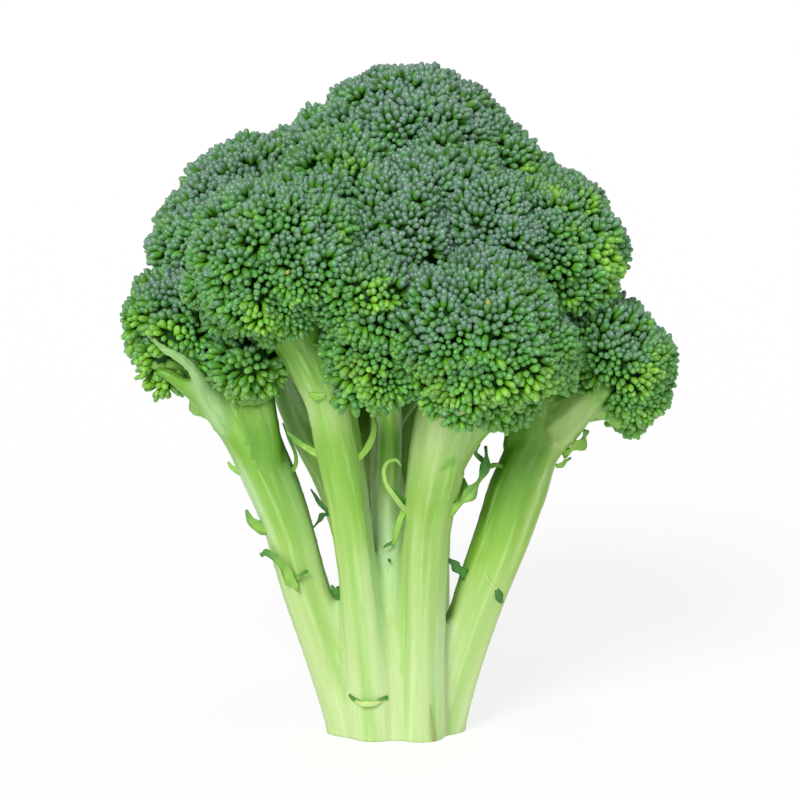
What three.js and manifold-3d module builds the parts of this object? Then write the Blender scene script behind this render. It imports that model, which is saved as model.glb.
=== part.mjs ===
// A head of broccoli, standing on its cut stalk: a pale ribbed stalk that forks into branches and stems,
// with small leaflets on it, and the bud heads that the stems carry, pressed together into one crown.
// Millimetres, +Z up, origin at the middle of the cut face.
import * as THREE from "three";
import Module from "manifold-3d";
import { LoftGeometry } from "three/addons/geometries/LoftGeometry.js";
import { ConvexHull } from "three/addons/math/ConvexHull.js";
import { mergeVertices } from "three/addons/utils/BufferGeometryUtils.js";

const GAP = 0.35; // clearance between two pieces that touch
const SEAT_DEPTH = 0.62; // flat seat of a bud head below its centre, as a share of its radius
const STEM_FLARE = 0.42; // radius of a stem where it meets the seat, same share
const SEAT_RUN = 7; // straight run of a stem into the seat

const BUD_PITCH = 7.2; // buds are larger than life here: a real one is 2.4 across
const BUD_RISE = 2;
const CLUSTER_PITCH = 14; // buds stand in clusters, each a low dome
const CLUSTER_RISE = 3;
const PRESSED = 0.9; // where a neighbour holds a head in below this share of its radius, no bud grows
const PRESSED_THINNING = 7; // one lattice point in this many is kept there
const SEED = 20;

const BRANCH_SIDES = 10;
const STEM_SIDES = 6;
const STEM_STEPS = 4;
const RIB = 0.045; // height of the ribs along a branch, as a share of its radius
const SLIVER = 0.12; // details of the joined stalk finer than this are merged
const ROOT_DEPTH = 4; // the branches start this far below the cut

const STALK_GREEN = 0xaed477;
const BUD_GREEN = 0x3f6b3a;
const YOUNG_GREEN = 0x4f8436; // the low heads at the rim, which see less sun

// Bud heads: centre and radius.
const HEADS = {
  top: { centre: [3.5, 17, 164.5], radius: 28.5 },
  top_right: { centre: [21, 20, 159], radius: 25 },
  top_left: { centre: [-21, 17, 159], radius: 22.5 },
  shoulder_right: { centre: [37.5, 11, 151.5], radius: 17 },
  upper_left: { centre: [-41.5, 9, 152], radius: 22.5 },
  mid_left: { centre: [-51, 2, 142], radius: 20.5 },
  low_left: { centre: [-60, -4, 116.5], radius: 20.5, young: true },
  front_left: { centre: [-34, -33, 140], radius: 25.5 },
  front_mid: { centre: [-8, -42, 130], radius: 15, young: true },
  front_low: { centre: [-5, -37, 113.5], radius: 15, young: true },
  under_left: { centre: [-41, -22, 108], radius: 13, young: true },
  inner_left: { centre: [-14, -9, 158.5], radius: 17 },
  inner_mid: { centre: [-1, -23, 145], radius: 18.5 },
  inner_top: { centre: [12.5, -8, 154], radius: 19 },
  inner_right: { centre: [27, -19, 145], radius: 18 },
  upper_right: { centre: [40.5, -5, 139.5], radius: 25.5 },
  front_right: { centre: [20, -41, 119.5], radius: 24.5 },
  front_side: { centre: [32, -34, 113], radius: 19.5 },
  low_right: { centre: [60.5, -4, 104.5], radius: 21.5, young: true },
  back_mid: { centre: [-1, 38, 142], radius: 27.5 },
  back_left: { centre: [-38, 32, 131.5], radius: 25.5 },
  back_right: { centre: [38, 31, 132], radius: 25.5 },
  back_low_left: { centre: [-21, 46, 112], radius: 20, young: true },
  back_low_right: { centre: [23, 44, 110], radius: 20, young: true },
  side_left: { centre: [-56, 21, 113], radius: 19, young: true },
  side_right: { centre: [55.5, 22, 114], radius: 20, young: true },
};

// The thick branches, from the cut upwards: x, y, z and radius of each place, and the head at the end.
const BRANCHES = {
  left: {
    to: "low_left",
    path: [[-13.6, -4, 0, 7.8], [-19.7, -5, 22, 7.6], [-26.6, -6, 45, 7.1], [-31.2, -7, 62, 7],
      [-36.5, -8, 76, 7.6], [-41.5, -8, 87, 7.8]],
  },
  front_left: {
    to: "front_left",
    path: [[-6.4, -9, 0, 7.6], [-8.6, -11, 25, 6.5], [-11.1, -13, 51, 5.9], [-14, -16, 72, 6.2],
      [-17.2, -19, 88, 6.6], [-20, -22.5, 102, 7.4]],
  },
  middle: {
    to: "inner_mid",
    path: [[-1.2, -6, 0, 5.6], [-2, -5.5, 27, 5], [-2.5, -4, 56, 4.6], [-2.9, 0, 84, 4.6],
      [-2.4, 0, 100, 4.8], [-1.6, -8, 118, 4.8]],
  },
  front_right: {
    to: "front_right",
    path: [[7, -10, 0, 7.2], [7.4, -12, 26, 6.5], [7.6, -14, 51, 6.6], [8.8, -16, 65, 7.2],
      [11, -19, 77, 8], [14, -23, 90, 8.8]],
  },
  right: {
    to: "low_right",
    path: [[14.4, -2, 0, 7.4], [16.8, -3, 14, 7.5], [23.4, -4, 38, 7.6], [30.7, -5, 58, 7.7],
      [35.3, -6, 72, 8.2], [40.5, -6, 84, 8.8]],
  },
  back_left: {
    to: "back_left",
    path: [[-8, 8, 0, 8], [-9, 10, 23, 7], [-10.5, 13, 46, 5.9], [-15, 18, 69, 6], [-25.5, 22, 89, 6.4]],
  },
  back_middle: {
    to: "top",
    path: [[-1, 11, 0, 7.4], [-1.5, 13, 23, 6.4], [-1.5, 16, 46, 6], [-1, 20, 70, 6], [-1, 22, 95, 6],
      [0, 18, 118, 6.4]],
  },
  back_right: {
    to: "top_right",
    path: [[8.4, 8, 0, 8], [9, 12, 23, 6.8], [9.5, 16, 46, 6.3], [11, 19, 68, 6.2], [13, 21, 92, 6.4],
      [16, 20, 116, 6.2]],
  },
};

// The thinner stems: each leaves a branch, passes one or two places and ends under its own head.
const STEMS = [
  { to: "under_left", path: [[-36, -9, 74, 5], [-37, -15, 89, 4.8]] },
  { to: "mid_left", path: [[-36, -8, 76, 5], [-40, -1, 100, 5]] },
  { to: "side_left", path: [[-36.5, -8, 76, 5], [-43, 4, 92, 5]] },
  { to: "front_mid", path: [[-17.6, -19.5, 88, 4.6], [-15.5, -27, 108, 4.4]] },
  { to: "front_low", path: [[-2.7, -3, 70, 4.2], [-3.6, -17, 92, 4.4]] },
  { to: "inner_left", path: [[-2.6, 0, 94, 4.2], [-9, -3, 122, 4.4]] },
  { to: "inner_top", path: [[-2.6, 0, 92, 4.4], [7, -3, 120, 4.6]] },
  { to: "inner_right", path: [[-2.4, 0, 90, 4.4], [13, -9, 115, 4.6]] },
  { to: "front_side", path: [[11, -19, 76, 6], [18.5, -23, 91, 6.2]] },
  { to: "upper_right", path: [[35.5, -6, 73, 6.4], [38.5, -6, 98, 6.8]] },
  { to: "shoulder_right", path: [[13.5, 21, 96, 4.6], [26, 15, 122, 4.6]] },
  { to: "side_right", path: [[36, -5, 73, 5.4], [42, 7, 91, 5.2]] },
  { to: "back_right", path: [[11.5, 19, 72, 6], [22, 23, 98, 6.2]] },
  { to: "back_low_right", path: [[10, 18, 60, 5], [14, 28, 84, 5]] },
  { to: "back_mid", path: [[-1, 21, 78, 5.4], [0, 30, 102, 5.6]] },
  { to: "back_low_left", path: [[-1.5, 18, 60, 5], [-10, 28, 85, 5]] },
  { to: "top_left", path: [[-17, 19, 74, 5.4], [-18.5, 18, 108, 5.4]] },
  { to: "upper_left", path: [[-20.5, 20, 80, 5.2], [-30, 13, 110, 5.2]] },
];

// The solid heart of the stalk, which the branches stand round and leave one by one.
const HEART = [[0, 0, 0, 15.5], [0, 0, 20, 15], [-0.5, 0.5, 36, 13], [-1, 1, 50, 10], [-1, 3, 64, 6.5], [-1, 4, 76, 2.5]];

// Leaflets: the branch and the height each sits at, the way round it faces (0 is +X, 90 is +Y), its size,
// then in degrees: how far it leans up from square at its root, how far it curls over its length, and how
// far it is turned about its own length.
const LEAFLETS = [
  { on: "left", height: 59, face: 190, length: 10, width: 5.5, lean: 5, curl: 95, turn: 55 },
  { on: "left", height: 41, face: 255, length: 16, width: 7, lean: 62, curl: 30, turn: 15 },
  { on: "left", height: 77, face: 185, length: 6, width: 5, lean: 45, curl: 30, turn: 50 },
  { on: "left", height: 75, face: 335, length: 17, width: 3.4, lean: 45, curl: 50, turn: 60 },
  { on: "front_left", height: 60, face: 190, length: 10, width: 5, lean: 35, curl: 50, turn: -60 },
  { on: "front_left", height: 73, face: 345, length: 19, width: 3.4, lean: 10, curl: 90, turn: 60 },
  { on: "front_left", height: 12, face: 268, length: 3.6, width: 11, lean: 20, curl: 40, turn: 0 },
  { on: "front_right", height: 60, face: 200, length: 22, width: 3.6, lean: 45, curl: 70, turn: 55 },
  { on: "front_right", height: 65, face: 345, length: 19, width: 6, lean: 30, curl: 30, turn: -50 },
  { on: "front_right", height: 44, face: 340, length: 7, width: 4.6, lean: 25, curl: 40, turn: 50 },
  { on: "right", height: 75, face: 195, length: 13, width: 6, lean: 10, curl: 95, turn: 50 },
  { on: "right", height: 81, face: 345, length: 9, width: 7, lean: 20, curl: -30, turn: 50 },
  { on: "back_left", height: 58, face: 150, length: 11, width: 5.5, lean: 30, curl: 60, turn: 40 },
  { on: "back_middle", height: 50, face: 80, length: 14, width: 6.5, lean: 40, curl: 55, turn: 20 },
  { on: "back_right", height: 60, face: 50, length: 12, width: 5.5, lean: 35, curl: 65, turn: -30 },
];
const LEAF_THICKNESS = 0.9;
const LEAF_STEPS = 6;
const LEAF_LOBES = 0.38; // how deep the edge is cut, as a share of the half width

const wasm = await Module();
wasm.setup();

const vector = ([x, y, z]) => new THREE.Vector3(x, y, z);

// A repeatable stream of numbers from 0 to 1.
function randomStream(seed) {
  let state = seed >>> 0;
  return () => {
    state = (state + 0x6d2b79f5) >>> 0;
    let t = state;
    t = Math.imul(t ^ (t >>> 15), t | 1);
    t ^= t + Math.imul(t ^ (t >>> 7), t | 61);
    return ((t ^ (t >>> 14)) >>> 0) / 4294967296;
  };
}

function solidFrom(geometry) {
  const bare = new THREE.BufferGeometry().setAttribute("position", geometry.getAttribute("position"));
  const merged = mergeVertices(bare.setIndex(geometry.index), 1e-4);
  return new wasm.Manifold(new wasm.Mesh({
    numProp: 3,
    vertProperties: merged.attributes.position.array,
    triVerts: new Uint32Array(merged.index.array),
  }));
}

function meshFrom(name, solid, color) {
  const { vertProperties, triVerts } = solid.getMesh();
  const geometry = new THREE.BufferGeometry()
    .setAttribute("position", new THREE.BufferAttribute(vertProperties, 3))
    .setIndex(new THREE.BufferAttribute(triVerts, 1))
    .toNonIndexed();
  geometry.computeVertexNormals();
  const material = new THREE.MeshStandardMaterial({ color, roughness: 0.6, metalness: 0 });
  const mesh = new THREE.Mesh(geometry, material);
  mesh.name = name;
  return mesh;
}

const largestBody = (solid) => solid.decompose().reduce((a, b) => (b.volume() > a.volume() ? b : a));

// ---- The bud heads ----

// Points spread evenly over a unit sphere, about `pitch` apart on one of that radius.
function sphereLattice(radius, pitch, jitter, random) {
  const count = Math.round((4 * Math.PI * radius ** 2) / (0.866 * pitch ** 2));
  const golden = Math.PI * (3 - Math.sqrt(5));
  const spread = () => (random() - 0.5) * 2 * jitter * (pitch / radius);
  return Array.from({ length: count }, (_, i) => {
    const z = 1 - (2 * i + 1) / count;
    const ring = Math.sqrt(1 - z * z);
    const point = new THREE.Vector3(ring * Math.cos(i * golden), ring * Math.sin(i * golden), z);
    return point.add(new THREE.Vector3(spread(), spread(), spread())).normalize();
  });
}

// The flat limits of a head: its own seat, and the plane where it meets each neighbour.
function limitsOf(name) {
  const { centre, radius, axis } = HEADS[name];
  const limits = [{ normal: axis.clone().negate(), reach: SEAT_DEPTH * radius }];
  for (const [other, { centre: away, radius: size }] of Object.entries(HEADS)) {
    const apart = centre.distanceTo(away);
    if (other === name || apart > radius + size + GAP) continue;
    const reach = (apart ** 2 + radius ** 2 - size ** 2) / (2 * apart) - GAP / 2;
    limits.push({ normal: away.clone().sub(centre).normalize(), reach });
  }
  return limits;
}

// One bud head: a ball of low clusters, held in by its neighbours, with a pointed bud at every lattice
// point that is free, and a hollow where three buds meet.
function budHead(name, index) {
  const { centre, radius } = HEADS[name];
  const random = randomStream(SEED + index);
  const limits = limitsOf(name);
  const clusters = sphereLattice(radius, CLUSTER_PITCH, 0.15, random);
  const freeRadius = (way) => {
    const nearest = Math.min(...clusters.map((cluster) => cluster.angleTo(way)));
    return radius - CLUSTER_RISE * Math.min(1, ((nearest * radius * 2) / CLUSTER_PITCH) ** 2);
  };
  const held = (way, free) => limits.reduce((least, { normal, reach }) => {
    const toward = way.dot(normal);
    return toward > 1e-6 ? Math.min(least, reach / toward) : least;
  }, free);
  const isPressed = (way) => held(way, radius) < PRESSED * radius;
  const ways = sphereLattice(radius, BUD_PITCH, 0.06, random)
    .filter((way, i) => !isPressed(way) || i % PRESSED_THINNING === 0);

  const hull = new ConvexHull().setFromPoints(ways);
  const positions = [];
  const place = (way, reach) => positions.push(...centre.clone().addScaledVector(way, reach).toArray());
  const indexOf = new Map(ways.map((way, i) => [way, i]));
  for (const way of ways) place(way, held(way, freeRadius(way)));
  hull.faces.forEach((face, i) => {
    const corners = [face.edge, face.edge.next, face.edge.next.next].map((edge) => edge.head().point);
    const way = corners.reduce((sum, corner) => sum.add(corner), new THREE.Vector3()).normalize();
    const between = corners.some(isPressed) ? 0 : BUD_RISE;
    face.hollow = ways.length + i;
    place(way, held(way, freeRadius(way) - between));
  });
  const triangles = [];
  for (const face of hull.faces) {
    for (const edge of [face.edge, face.edge.next, face.edge.next.next]) {
      triangles.push(indexOf.get(edge.tail().point), edge.twin.face.hollow, face.hollow);
    }
  }
  const geometry = new THREE.BufferGeometry()
    .setAttribute("position", new THREE.Float32BufferAttribute(positions, 3))
    .setIndex(triangles);
  return solidFrom(geometry);
}

// ---- The stalk ----

// The rest of a stem's path: up to its head's seat, widening as it goes.
function pathToSeat({ to, path }) {
  const { centre, radius, axis } = HEADS[to];
  const seat = centre.clone().addScaledVector(axis, -SEAT_DEPTH * radius - GAP);
  const before = seat.clone().addScaledVector(axis, -SEAT_RUN);
  const last = path[path.length - 1][3];
  const flare = STEM_FLARE * radius;
  return [...path, [...before.toArray(), (last + flare) / 2], [...seat.toArray(), flare]];
}

const lineThrough = (path) => new THREE.CatmullRomCurve3(path.map(vector), false, "centripetal");

function radiusAt(path, share) {
  const place = share * (path.length - 1);
  const low = Math.min(Math.floor(place), path.length - 2);
  return THREE.MathUtils.lerp(path[low][3], path[low + 1][3], place - low);
}

// A round stem along a path, with faint ribs on every other corner. `grown` makes it that much thicker,
// and a little less than that longer.
function stem(path, sides, steps, grown) {
  const line = lineThrough(path);
  const across = new THREE.Vector3(1, 0, 0);
  const sections = [];
  for (let step = 0; step <= steps; step++) {
    const share = step / steps;
    const middle = line.getPoint(share);
    const along = line.getTangent(share);
    across.addScaledVector(along, -across.dot(along)).normalize();
    const over = along.clone().cross(across);
    const ring = [];
    for (let side = 0; side < sides; side++) {
      const angle = (2 * Math.PI * side) / sides;
      const rib = sides < BRANCH_SIDES ? 1 : 1 + (side % 2 ? -RIB : RIB);
      const reach = radiusAt(path, share) * rib + grown;
      ring.push(middle.clone()
        .addScaledVector(across, reach * Math.cos(angle))
        .addScaledVector(over, reach * Math.sin(angle)));
    }
    sections.push(ring);
  }
  if (grown > 0) {
    const further = line.getTangent(1).multiplyScalar(grown * 0.8);
    sections.push(sections[steps].map((point) => point.clone().add(further)));
  }
  return solidFrom(new LoftGeometry(sections, { capStart: true, capEnd: true }));
}

// How far along a rising path a height is reached.
function shareAtHeight(line, height) {
  let [low, high] = [0, 1];
  for (let i = 0; i < 20; i++) {
    const middle = (low + high) / 2;
    if (line.getPoint(middle).z < height) low = middle;
    else high = middle;
  }
  return low;
}

// A thin leaflet with a lobed edge, rooted in its branch and curling as it goes.
function leaflet({ on, height, face, length, width, lean, curl, turn }) {
  const path = pathToSeat(BRANCHES[on]);
  const line = lineThrough(path);
  const up = shareAtHeight(line, height);
  const along = line.getTangent(up);
  const bearing = THREE.MathUtils.degToRad(face);
  const out = new THREE.Vector3(Math.cos(bearing), Math.sin(bearing), 0);
  out.addScaledVector(along, -out.dot(along)).normalize();
  const side = along.clone().cross(out);
  const spot = line.getPoint(up).addScaledVector(out, radiusAt(path, up) * 0.72);
  const sections = [];
  for (let step = 0; step <= LEAF_STEPS; step++) {
    const share = step / LEAF_STEPS;
    const angle = THREE.MathUtils.degToRad(lean + curl * share);
    const way = out.clone().multiplyScalar(Math.cos(angle)).addScaledVector(along, Math.sin(angle));
    const edge = side.clone().applyAxisAngle(way, THREE.MathUtils.degToRad(turn * Math.min(1, share * 3)));
    const flat = way.clone().cross(edge);
    const lobe = step % 2 ? 1 : 1 - LEAF_LOBES;
    const half = (width / 2) * lobe * Math.sqrt(1.08 - share ** 2);
    const thick = (LEAF_THICKNESS / 2) * (1.3 - 0.5 * share);
    sections.push([
      spot.clone().addScaledVector(edge, half),
      spot.clone().addScaledVector(flat, thick),
      spot.clone().addScaledVector(edge, -half),
      spot.clone().addScaledVector(flat, -thick),
    ]);
    spot.addScaledVector(way, length / LEAF_STEPS);
  }
  return solidFrom(new LoftGeometry(sections, { capStart: true, capEnd: true }));
}

// Every stem of the stalk in one solid, cut flat at its foot.
function wood(grown) {
  const sunk = ([x, y, , radius]) => [x, y, -ROOT_DEPTH, radius];
  const rooted = (path) => [sunk(path[0]), ...path];
  const solids = [stem(rooted(HEART), BRANCH_SIDES + 2, HEART.length, grown)];
  for (const branch of Object.values(BRANCHES)) {
    const path = rooted(pathToSeat(branch));
    solids.push(stem(path, BRANCH_SIDES, path.length, grown));
  }
  for (const twig of STEMS) solids.push(stem(pathToSeat(twig), STEM_SIDES, STEM_STEPS, grown));
  return wasm.Manifold.union(solids).trimByPlane([0, 0, 1], 0);
}

// Every head faces away from the last place its stem passes.
for (const { to, path } of [...Object.values(BRANCHES), ...STEMS]) {
  const head = HEADS[to];
  head.centre = vector(head.centre);
  head.axis = head.centre.clone().sub(vector(path[path.length - 1])).normalize();
}

const broccoli = new THREE.Group();
const clearance = wood(GAP);
Object.entries(HEADS).forEach(([name, { young }], index) => {
  const head = largestBody(budHead(name, index).subtract(clearance));
  broccoli.add(meshFrom(`head_${name}`, head, young ? YOUNG_GREEN : BUD_GREEN));
});
const leafy = wasm.Manifold.union([wood(0), ...LEAFLETS.map(leaflet)]);
broccoli.add(meshFrom("stalk", largestBody(leafy).simplify(SLIVER), STALK_GREEN));

export default broccoli;
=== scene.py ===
"""Dresses the solid frame of a broccoli head: fine buds on every bud head, a smooth ribbed stalk with its
leaflets and marks, their finishes, and a plain studio to see them in."""

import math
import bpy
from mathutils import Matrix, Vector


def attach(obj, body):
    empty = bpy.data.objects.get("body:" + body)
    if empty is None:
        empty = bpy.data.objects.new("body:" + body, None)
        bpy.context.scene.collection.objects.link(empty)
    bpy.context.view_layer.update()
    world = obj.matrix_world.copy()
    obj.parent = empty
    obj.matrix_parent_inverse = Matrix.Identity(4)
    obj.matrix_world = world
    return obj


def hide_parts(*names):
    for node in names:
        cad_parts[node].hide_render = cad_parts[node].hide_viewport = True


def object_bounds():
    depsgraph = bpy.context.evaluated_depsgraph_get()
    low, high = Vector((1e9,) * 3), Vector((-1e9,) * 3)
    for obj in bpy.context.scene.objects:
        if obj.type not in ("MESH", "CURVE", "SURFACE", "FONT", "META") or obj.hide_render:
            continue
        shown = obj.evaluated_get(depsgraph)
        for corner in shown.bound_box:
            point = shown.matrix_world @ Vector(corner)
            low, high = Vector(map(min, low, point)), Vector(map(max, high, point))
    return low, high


bl_info = {
    "name": "Broccoli Head",
    "version": (1, 0, 0),
    "blender": (4, 5, 0),
    "location": "View3D > Sidebar > Broccoli",
    "description": "Grows the buds, stalk and leaflets of a broccoli head on its solid frame",
    "category": "Add Mesh",
}

import bmesh
import bpy
import numpy as np
from bpy.props import FloatProperty, FloatVectorProperty, IntProperty, PointerProperty
from mathutils import Matrix, Vector, kdtree, noise

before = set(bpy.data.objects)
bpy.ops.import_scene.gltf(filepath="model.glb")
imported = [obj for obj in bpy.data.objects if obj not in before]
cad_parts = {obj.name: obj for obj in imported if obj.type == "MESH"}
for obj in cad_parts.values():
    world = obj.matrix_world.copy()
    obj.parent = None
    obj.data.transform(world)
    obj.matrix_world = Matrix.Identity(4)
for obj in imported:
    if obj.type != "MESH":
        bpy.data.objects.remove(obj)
SOLID_BOX = [list(corner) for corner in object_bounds()]

MM = 0.001
GOLDEN_ANGLE = math.pi * (3 - math.sqrt(5))

# ---- The plan of the plant, in millimetres ----

SEAT_DEPTH = 0.62  # flat seat of a bud head below its centre, as a share of its radius
STEM_FLARE = 0.42  # radius of a stem where it meets the seat, same share
SLIM_FLARES = {"low_right": 0.22}
SEAT_RUN = 7  # straight run of a stem into the seat
ROOT_DEPTH = 4  # the branches start this far below the cut
TUBE_STEPS = 6  # places along a stem between two that are given

# Bud heads: centre and radius.
HEADS = {
    "top": (3.5, 17, 164.5, 28.5),
    "top_right": (21, 20, 159, 25),
    "top_left": (-21, 17, 159, 22.5),
    "shoulder_right": (37.5, 11, 151.5, 17),
    "upper_left": (-41.5, 9, 152, 22.5),
    "mid_left": (-51, 2, 142, 20.5),
    "low_left": (-60, -4, 116.5, 20.5),
    "front_left": (-34, -33, 140, 25.5),
    "front_mid": (-8, -42, 130, 15),
    "front_low": (-5, -37, 113.5, 15),
    "under_left": (-41, -22, 108, 13),
    "inner_left": (-14, -9, 158.5, 17),
    "inner_mid": (-1, -23, 145, 18.5),
    "inner_top": (12.5, -8, 154, 19),
    "inner_right": (27, -19, 145, 18),
    "upper_right": (40.5, -5, 139.5, 25.5),
    "front_right": (20, -41, 119.5, 24.5),
    "front_side": (32, -34, 113, 19.5),
    "low_right": (60.5, -4, 104.5, 21.5),
    "back_mid": (-1, 38, 142, 27.5),
    "back_left": (-38, 32, 131.5, 25.5),
    "back_right": (38, 31, 132, 25.5),
    "back_low_left": (-21, 46, 112, 20),
    "back_low_right": (23, 44, 110, 20),
    "side_left": (-56, 21, 113, 19),
    "side_right": (55.5, 22, 114, 20),
}
YOUNG_HEADS = {
    "low_left", "front_mid", "front_low", "under_left", "low_right",
    "back_low_left", "back_low_right", "side_left", "side_right",
}

# The thick branches, from the cut upwards: the head at the end, then x, y, z and radius of each place.
BRANCHES = {
    "left": ("low_left", [(-13, -4, 0, 7.4), (-19.1, -5, 22, 7.4), (-26.6, -6, 45, 7.3),
                          (-31, -7, 62, 7.5), (-36.2, -8, 76, 8.2), (-41.2, -8, 87, 8.1)]),
    "front_left": ("front_left", [(-6.4, -9, 0, 7.6), (-8.6, -11, 25, 6.5), (-11.1, -13, 51, 5.9),
                                  (-13.7, -16, 72, 6.3), (-16.3, -19, 88, 6.9), (-19, -22.5, 102, 7)]),
    "middle": ("inner_mid", [(-1.2, -6, 0, 5.6), (-2, -5.5, 27, 5), (-2.5, -4, 56, 4.6),
                             (-2.9, 0, 84, 4.6), (-2.4, 0, 100, 4.8), (-1.6, -8, 118, 4.8)]),
    "front_right": ("front_right", [(7, -10, 0, 7.2), (7.4, -12, 26, 6.5), (7.8, -14, 51, 6.9),
                                    (8.8, -16, 65, 7.2), (10.6, -19, 77, 8.1), (12.7, -23, 90, 8.7)]),
    "right": ("low_right", [(13.5, -2, 0, 6.9), (16.3, -3, 14, 7.2), (23.4, -4, 38, 7.7),
                            (30.4, -5, 58, 8.5), (34.9, -6, 72, 9), (39.8, -6, 84, 7.8)]),
    "back_left": ("back_left", [(-8, 8, 0, 8), (-9, 10, 23, 7), (-10.7, 13, 46, 6.1),
                                (-17, 18, 69, 6.7), (-27, 22, 89, 6.8)]),
    "back_middle": ("top", [(-1, 11, 0, 7.4), (-1.5, 13, 23, 6.4), (-1.5, 16, 46, 6),
                            (-1, 20, 70, 6), (-1, 22, 95, 6), (0, 18, 118, 6.4)]),
    "back_right": ("top_right", [(8.4, 8, 0, 8), (9, 12, 23, 6.8), (9.5, 16, 46, 6.3),
                                 (11, 19, 68, 6.2), (13, 21, 92, 6.4), (16, 20, 116, 6.2)]),
}

# The thinner stems: each leaves a branch, passes one or two places and ends under its own head.
STEMS = [
    ("under_left", [(-36, -9, 74, 5), (-37, -15, 89, 4.8)]),
    ("mid_left", [(-36, -8, 76, 5), (-40, -1, 100, 5)]),
    ("side_left", [(-36.5, -8, 76, 5), (-43, 4, 92, 5)]),
    ("front_mid", [(-16.8, -19.5, 88, 4.6), (-15.5, -27, 108, 4.4)]),
    ("front_low", [(-2.4, -2, 70, 4), (-1.8, -14, 92, 4)]),
    ("inner_left", [(-2.6, 0, 94, 4.2), (-9, -3, 122, 4.4)]),
    ("inner_top", [(-2.6, 0, 92, 4.4), (7, -3, 120, 4.6)]),
    ("inner_right", [(-2.4, 0, 90, 4.4), (13, -9, 115, 4.6)]),
    ("front_side", [(11, -19, 76, 6), (18.5, -23, 91, 6.2)]),
    ("upper_right", [(35.5, -6, 73, 6.4), (38.5, -6, 98, 6.8)]),
    ("shoulder_right", [(13.5, 21, 96, 4.6), (26, 15, 122, 4.6)]),
    ("side_right", [(36, -5, 73, 5.4), (42, 7, 91, 5.2)]),
    ("back_right", [(11.5, 19, 72, 6), (22, 23, 98, 6.2)]),
    ("back_low_right", [(10, 18, 60, 5), (14, 28, 84, 5)]),
    ("back_mid", [(-1, 21, 78, 5.4), (0, 30, 102, 5.6)]),
    ("back_low_left", [(-1.5, 18, 60, 5), (-10, 28, 85, 5)]),
    ("top_left", [(-17, 19, 74, 5.4), (-18.5, 18, 108, 5.4)]),
    ("upper_left", [(-20.5, 20, 80, 5.2), (-30, 13, 110, 5.2)]),
]
HEART = [(0, 0, 0, 15.5), (0, 0, 20, 15), (-0.5, 0.5, 36, 13), (-1, 1, 50, 10), (-1, 3, 64, 6.5), (-1, 4, 76, 2.5)]
STEM_OF = dict([*BRANCHES.values(), *STEMS])

# Soft webs in the crotches between the front branches.
WEBS = [
    [(-13, -5, 16, 5), (-16.6, -7.4, 34, 3.4), (-17.4, -8, 39.5, 1.8)],
    [(12, -5, 12, 5), (14, -7, 26, 3.6), (14.7, -7.6, 33, 1.8)],
    [(0.6, -8, 10, 4.6), (0.2, -9.4, 40, 3), (0.4, -9.6, 56, 1.6)],
]
# Branchlets that stand bare of buds under the lower left head, the upper one first, and under the lower right one.
BRANCHLETS = [
    [(-48, -11, 92, 4.4), (-53, -14.5, 100.5, 3), (-56, -19.5, 107.4, 2.2), (-60, -22.8, 112.4, 1.8),
     (-64.4, -23, 114.8, 1.6), (-69.4, -16, 118, 1.2)],
    [(-50, -10, 95.5, 3.4), (-57, -13.5, 101, 2.8), (-62, -15, 105, 2.3), (-67.5, -14.6, 108, 1.8)],
    [(-55.4, -9.6, 93.6, 1.6), (-57, -10, 95.8, 2.1), (-57.4, -10, 98.4, 1.4)],
    [(44, -6, 88, 7.2), (50, -7, 94.6, 5.6), (54, -8, 97.2, 4.3), (57.8, -8.6, 96.2, 3.7), (61.5, -9, 93.7, 2.9),
     (64.5, -9.4, 90.2, 2)],
    [(44, -6, 88, 7), (51, -9, 96, 5.6), (56, -13, 101, 4.4), (60, -16, 104, 3)],
]

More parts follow.
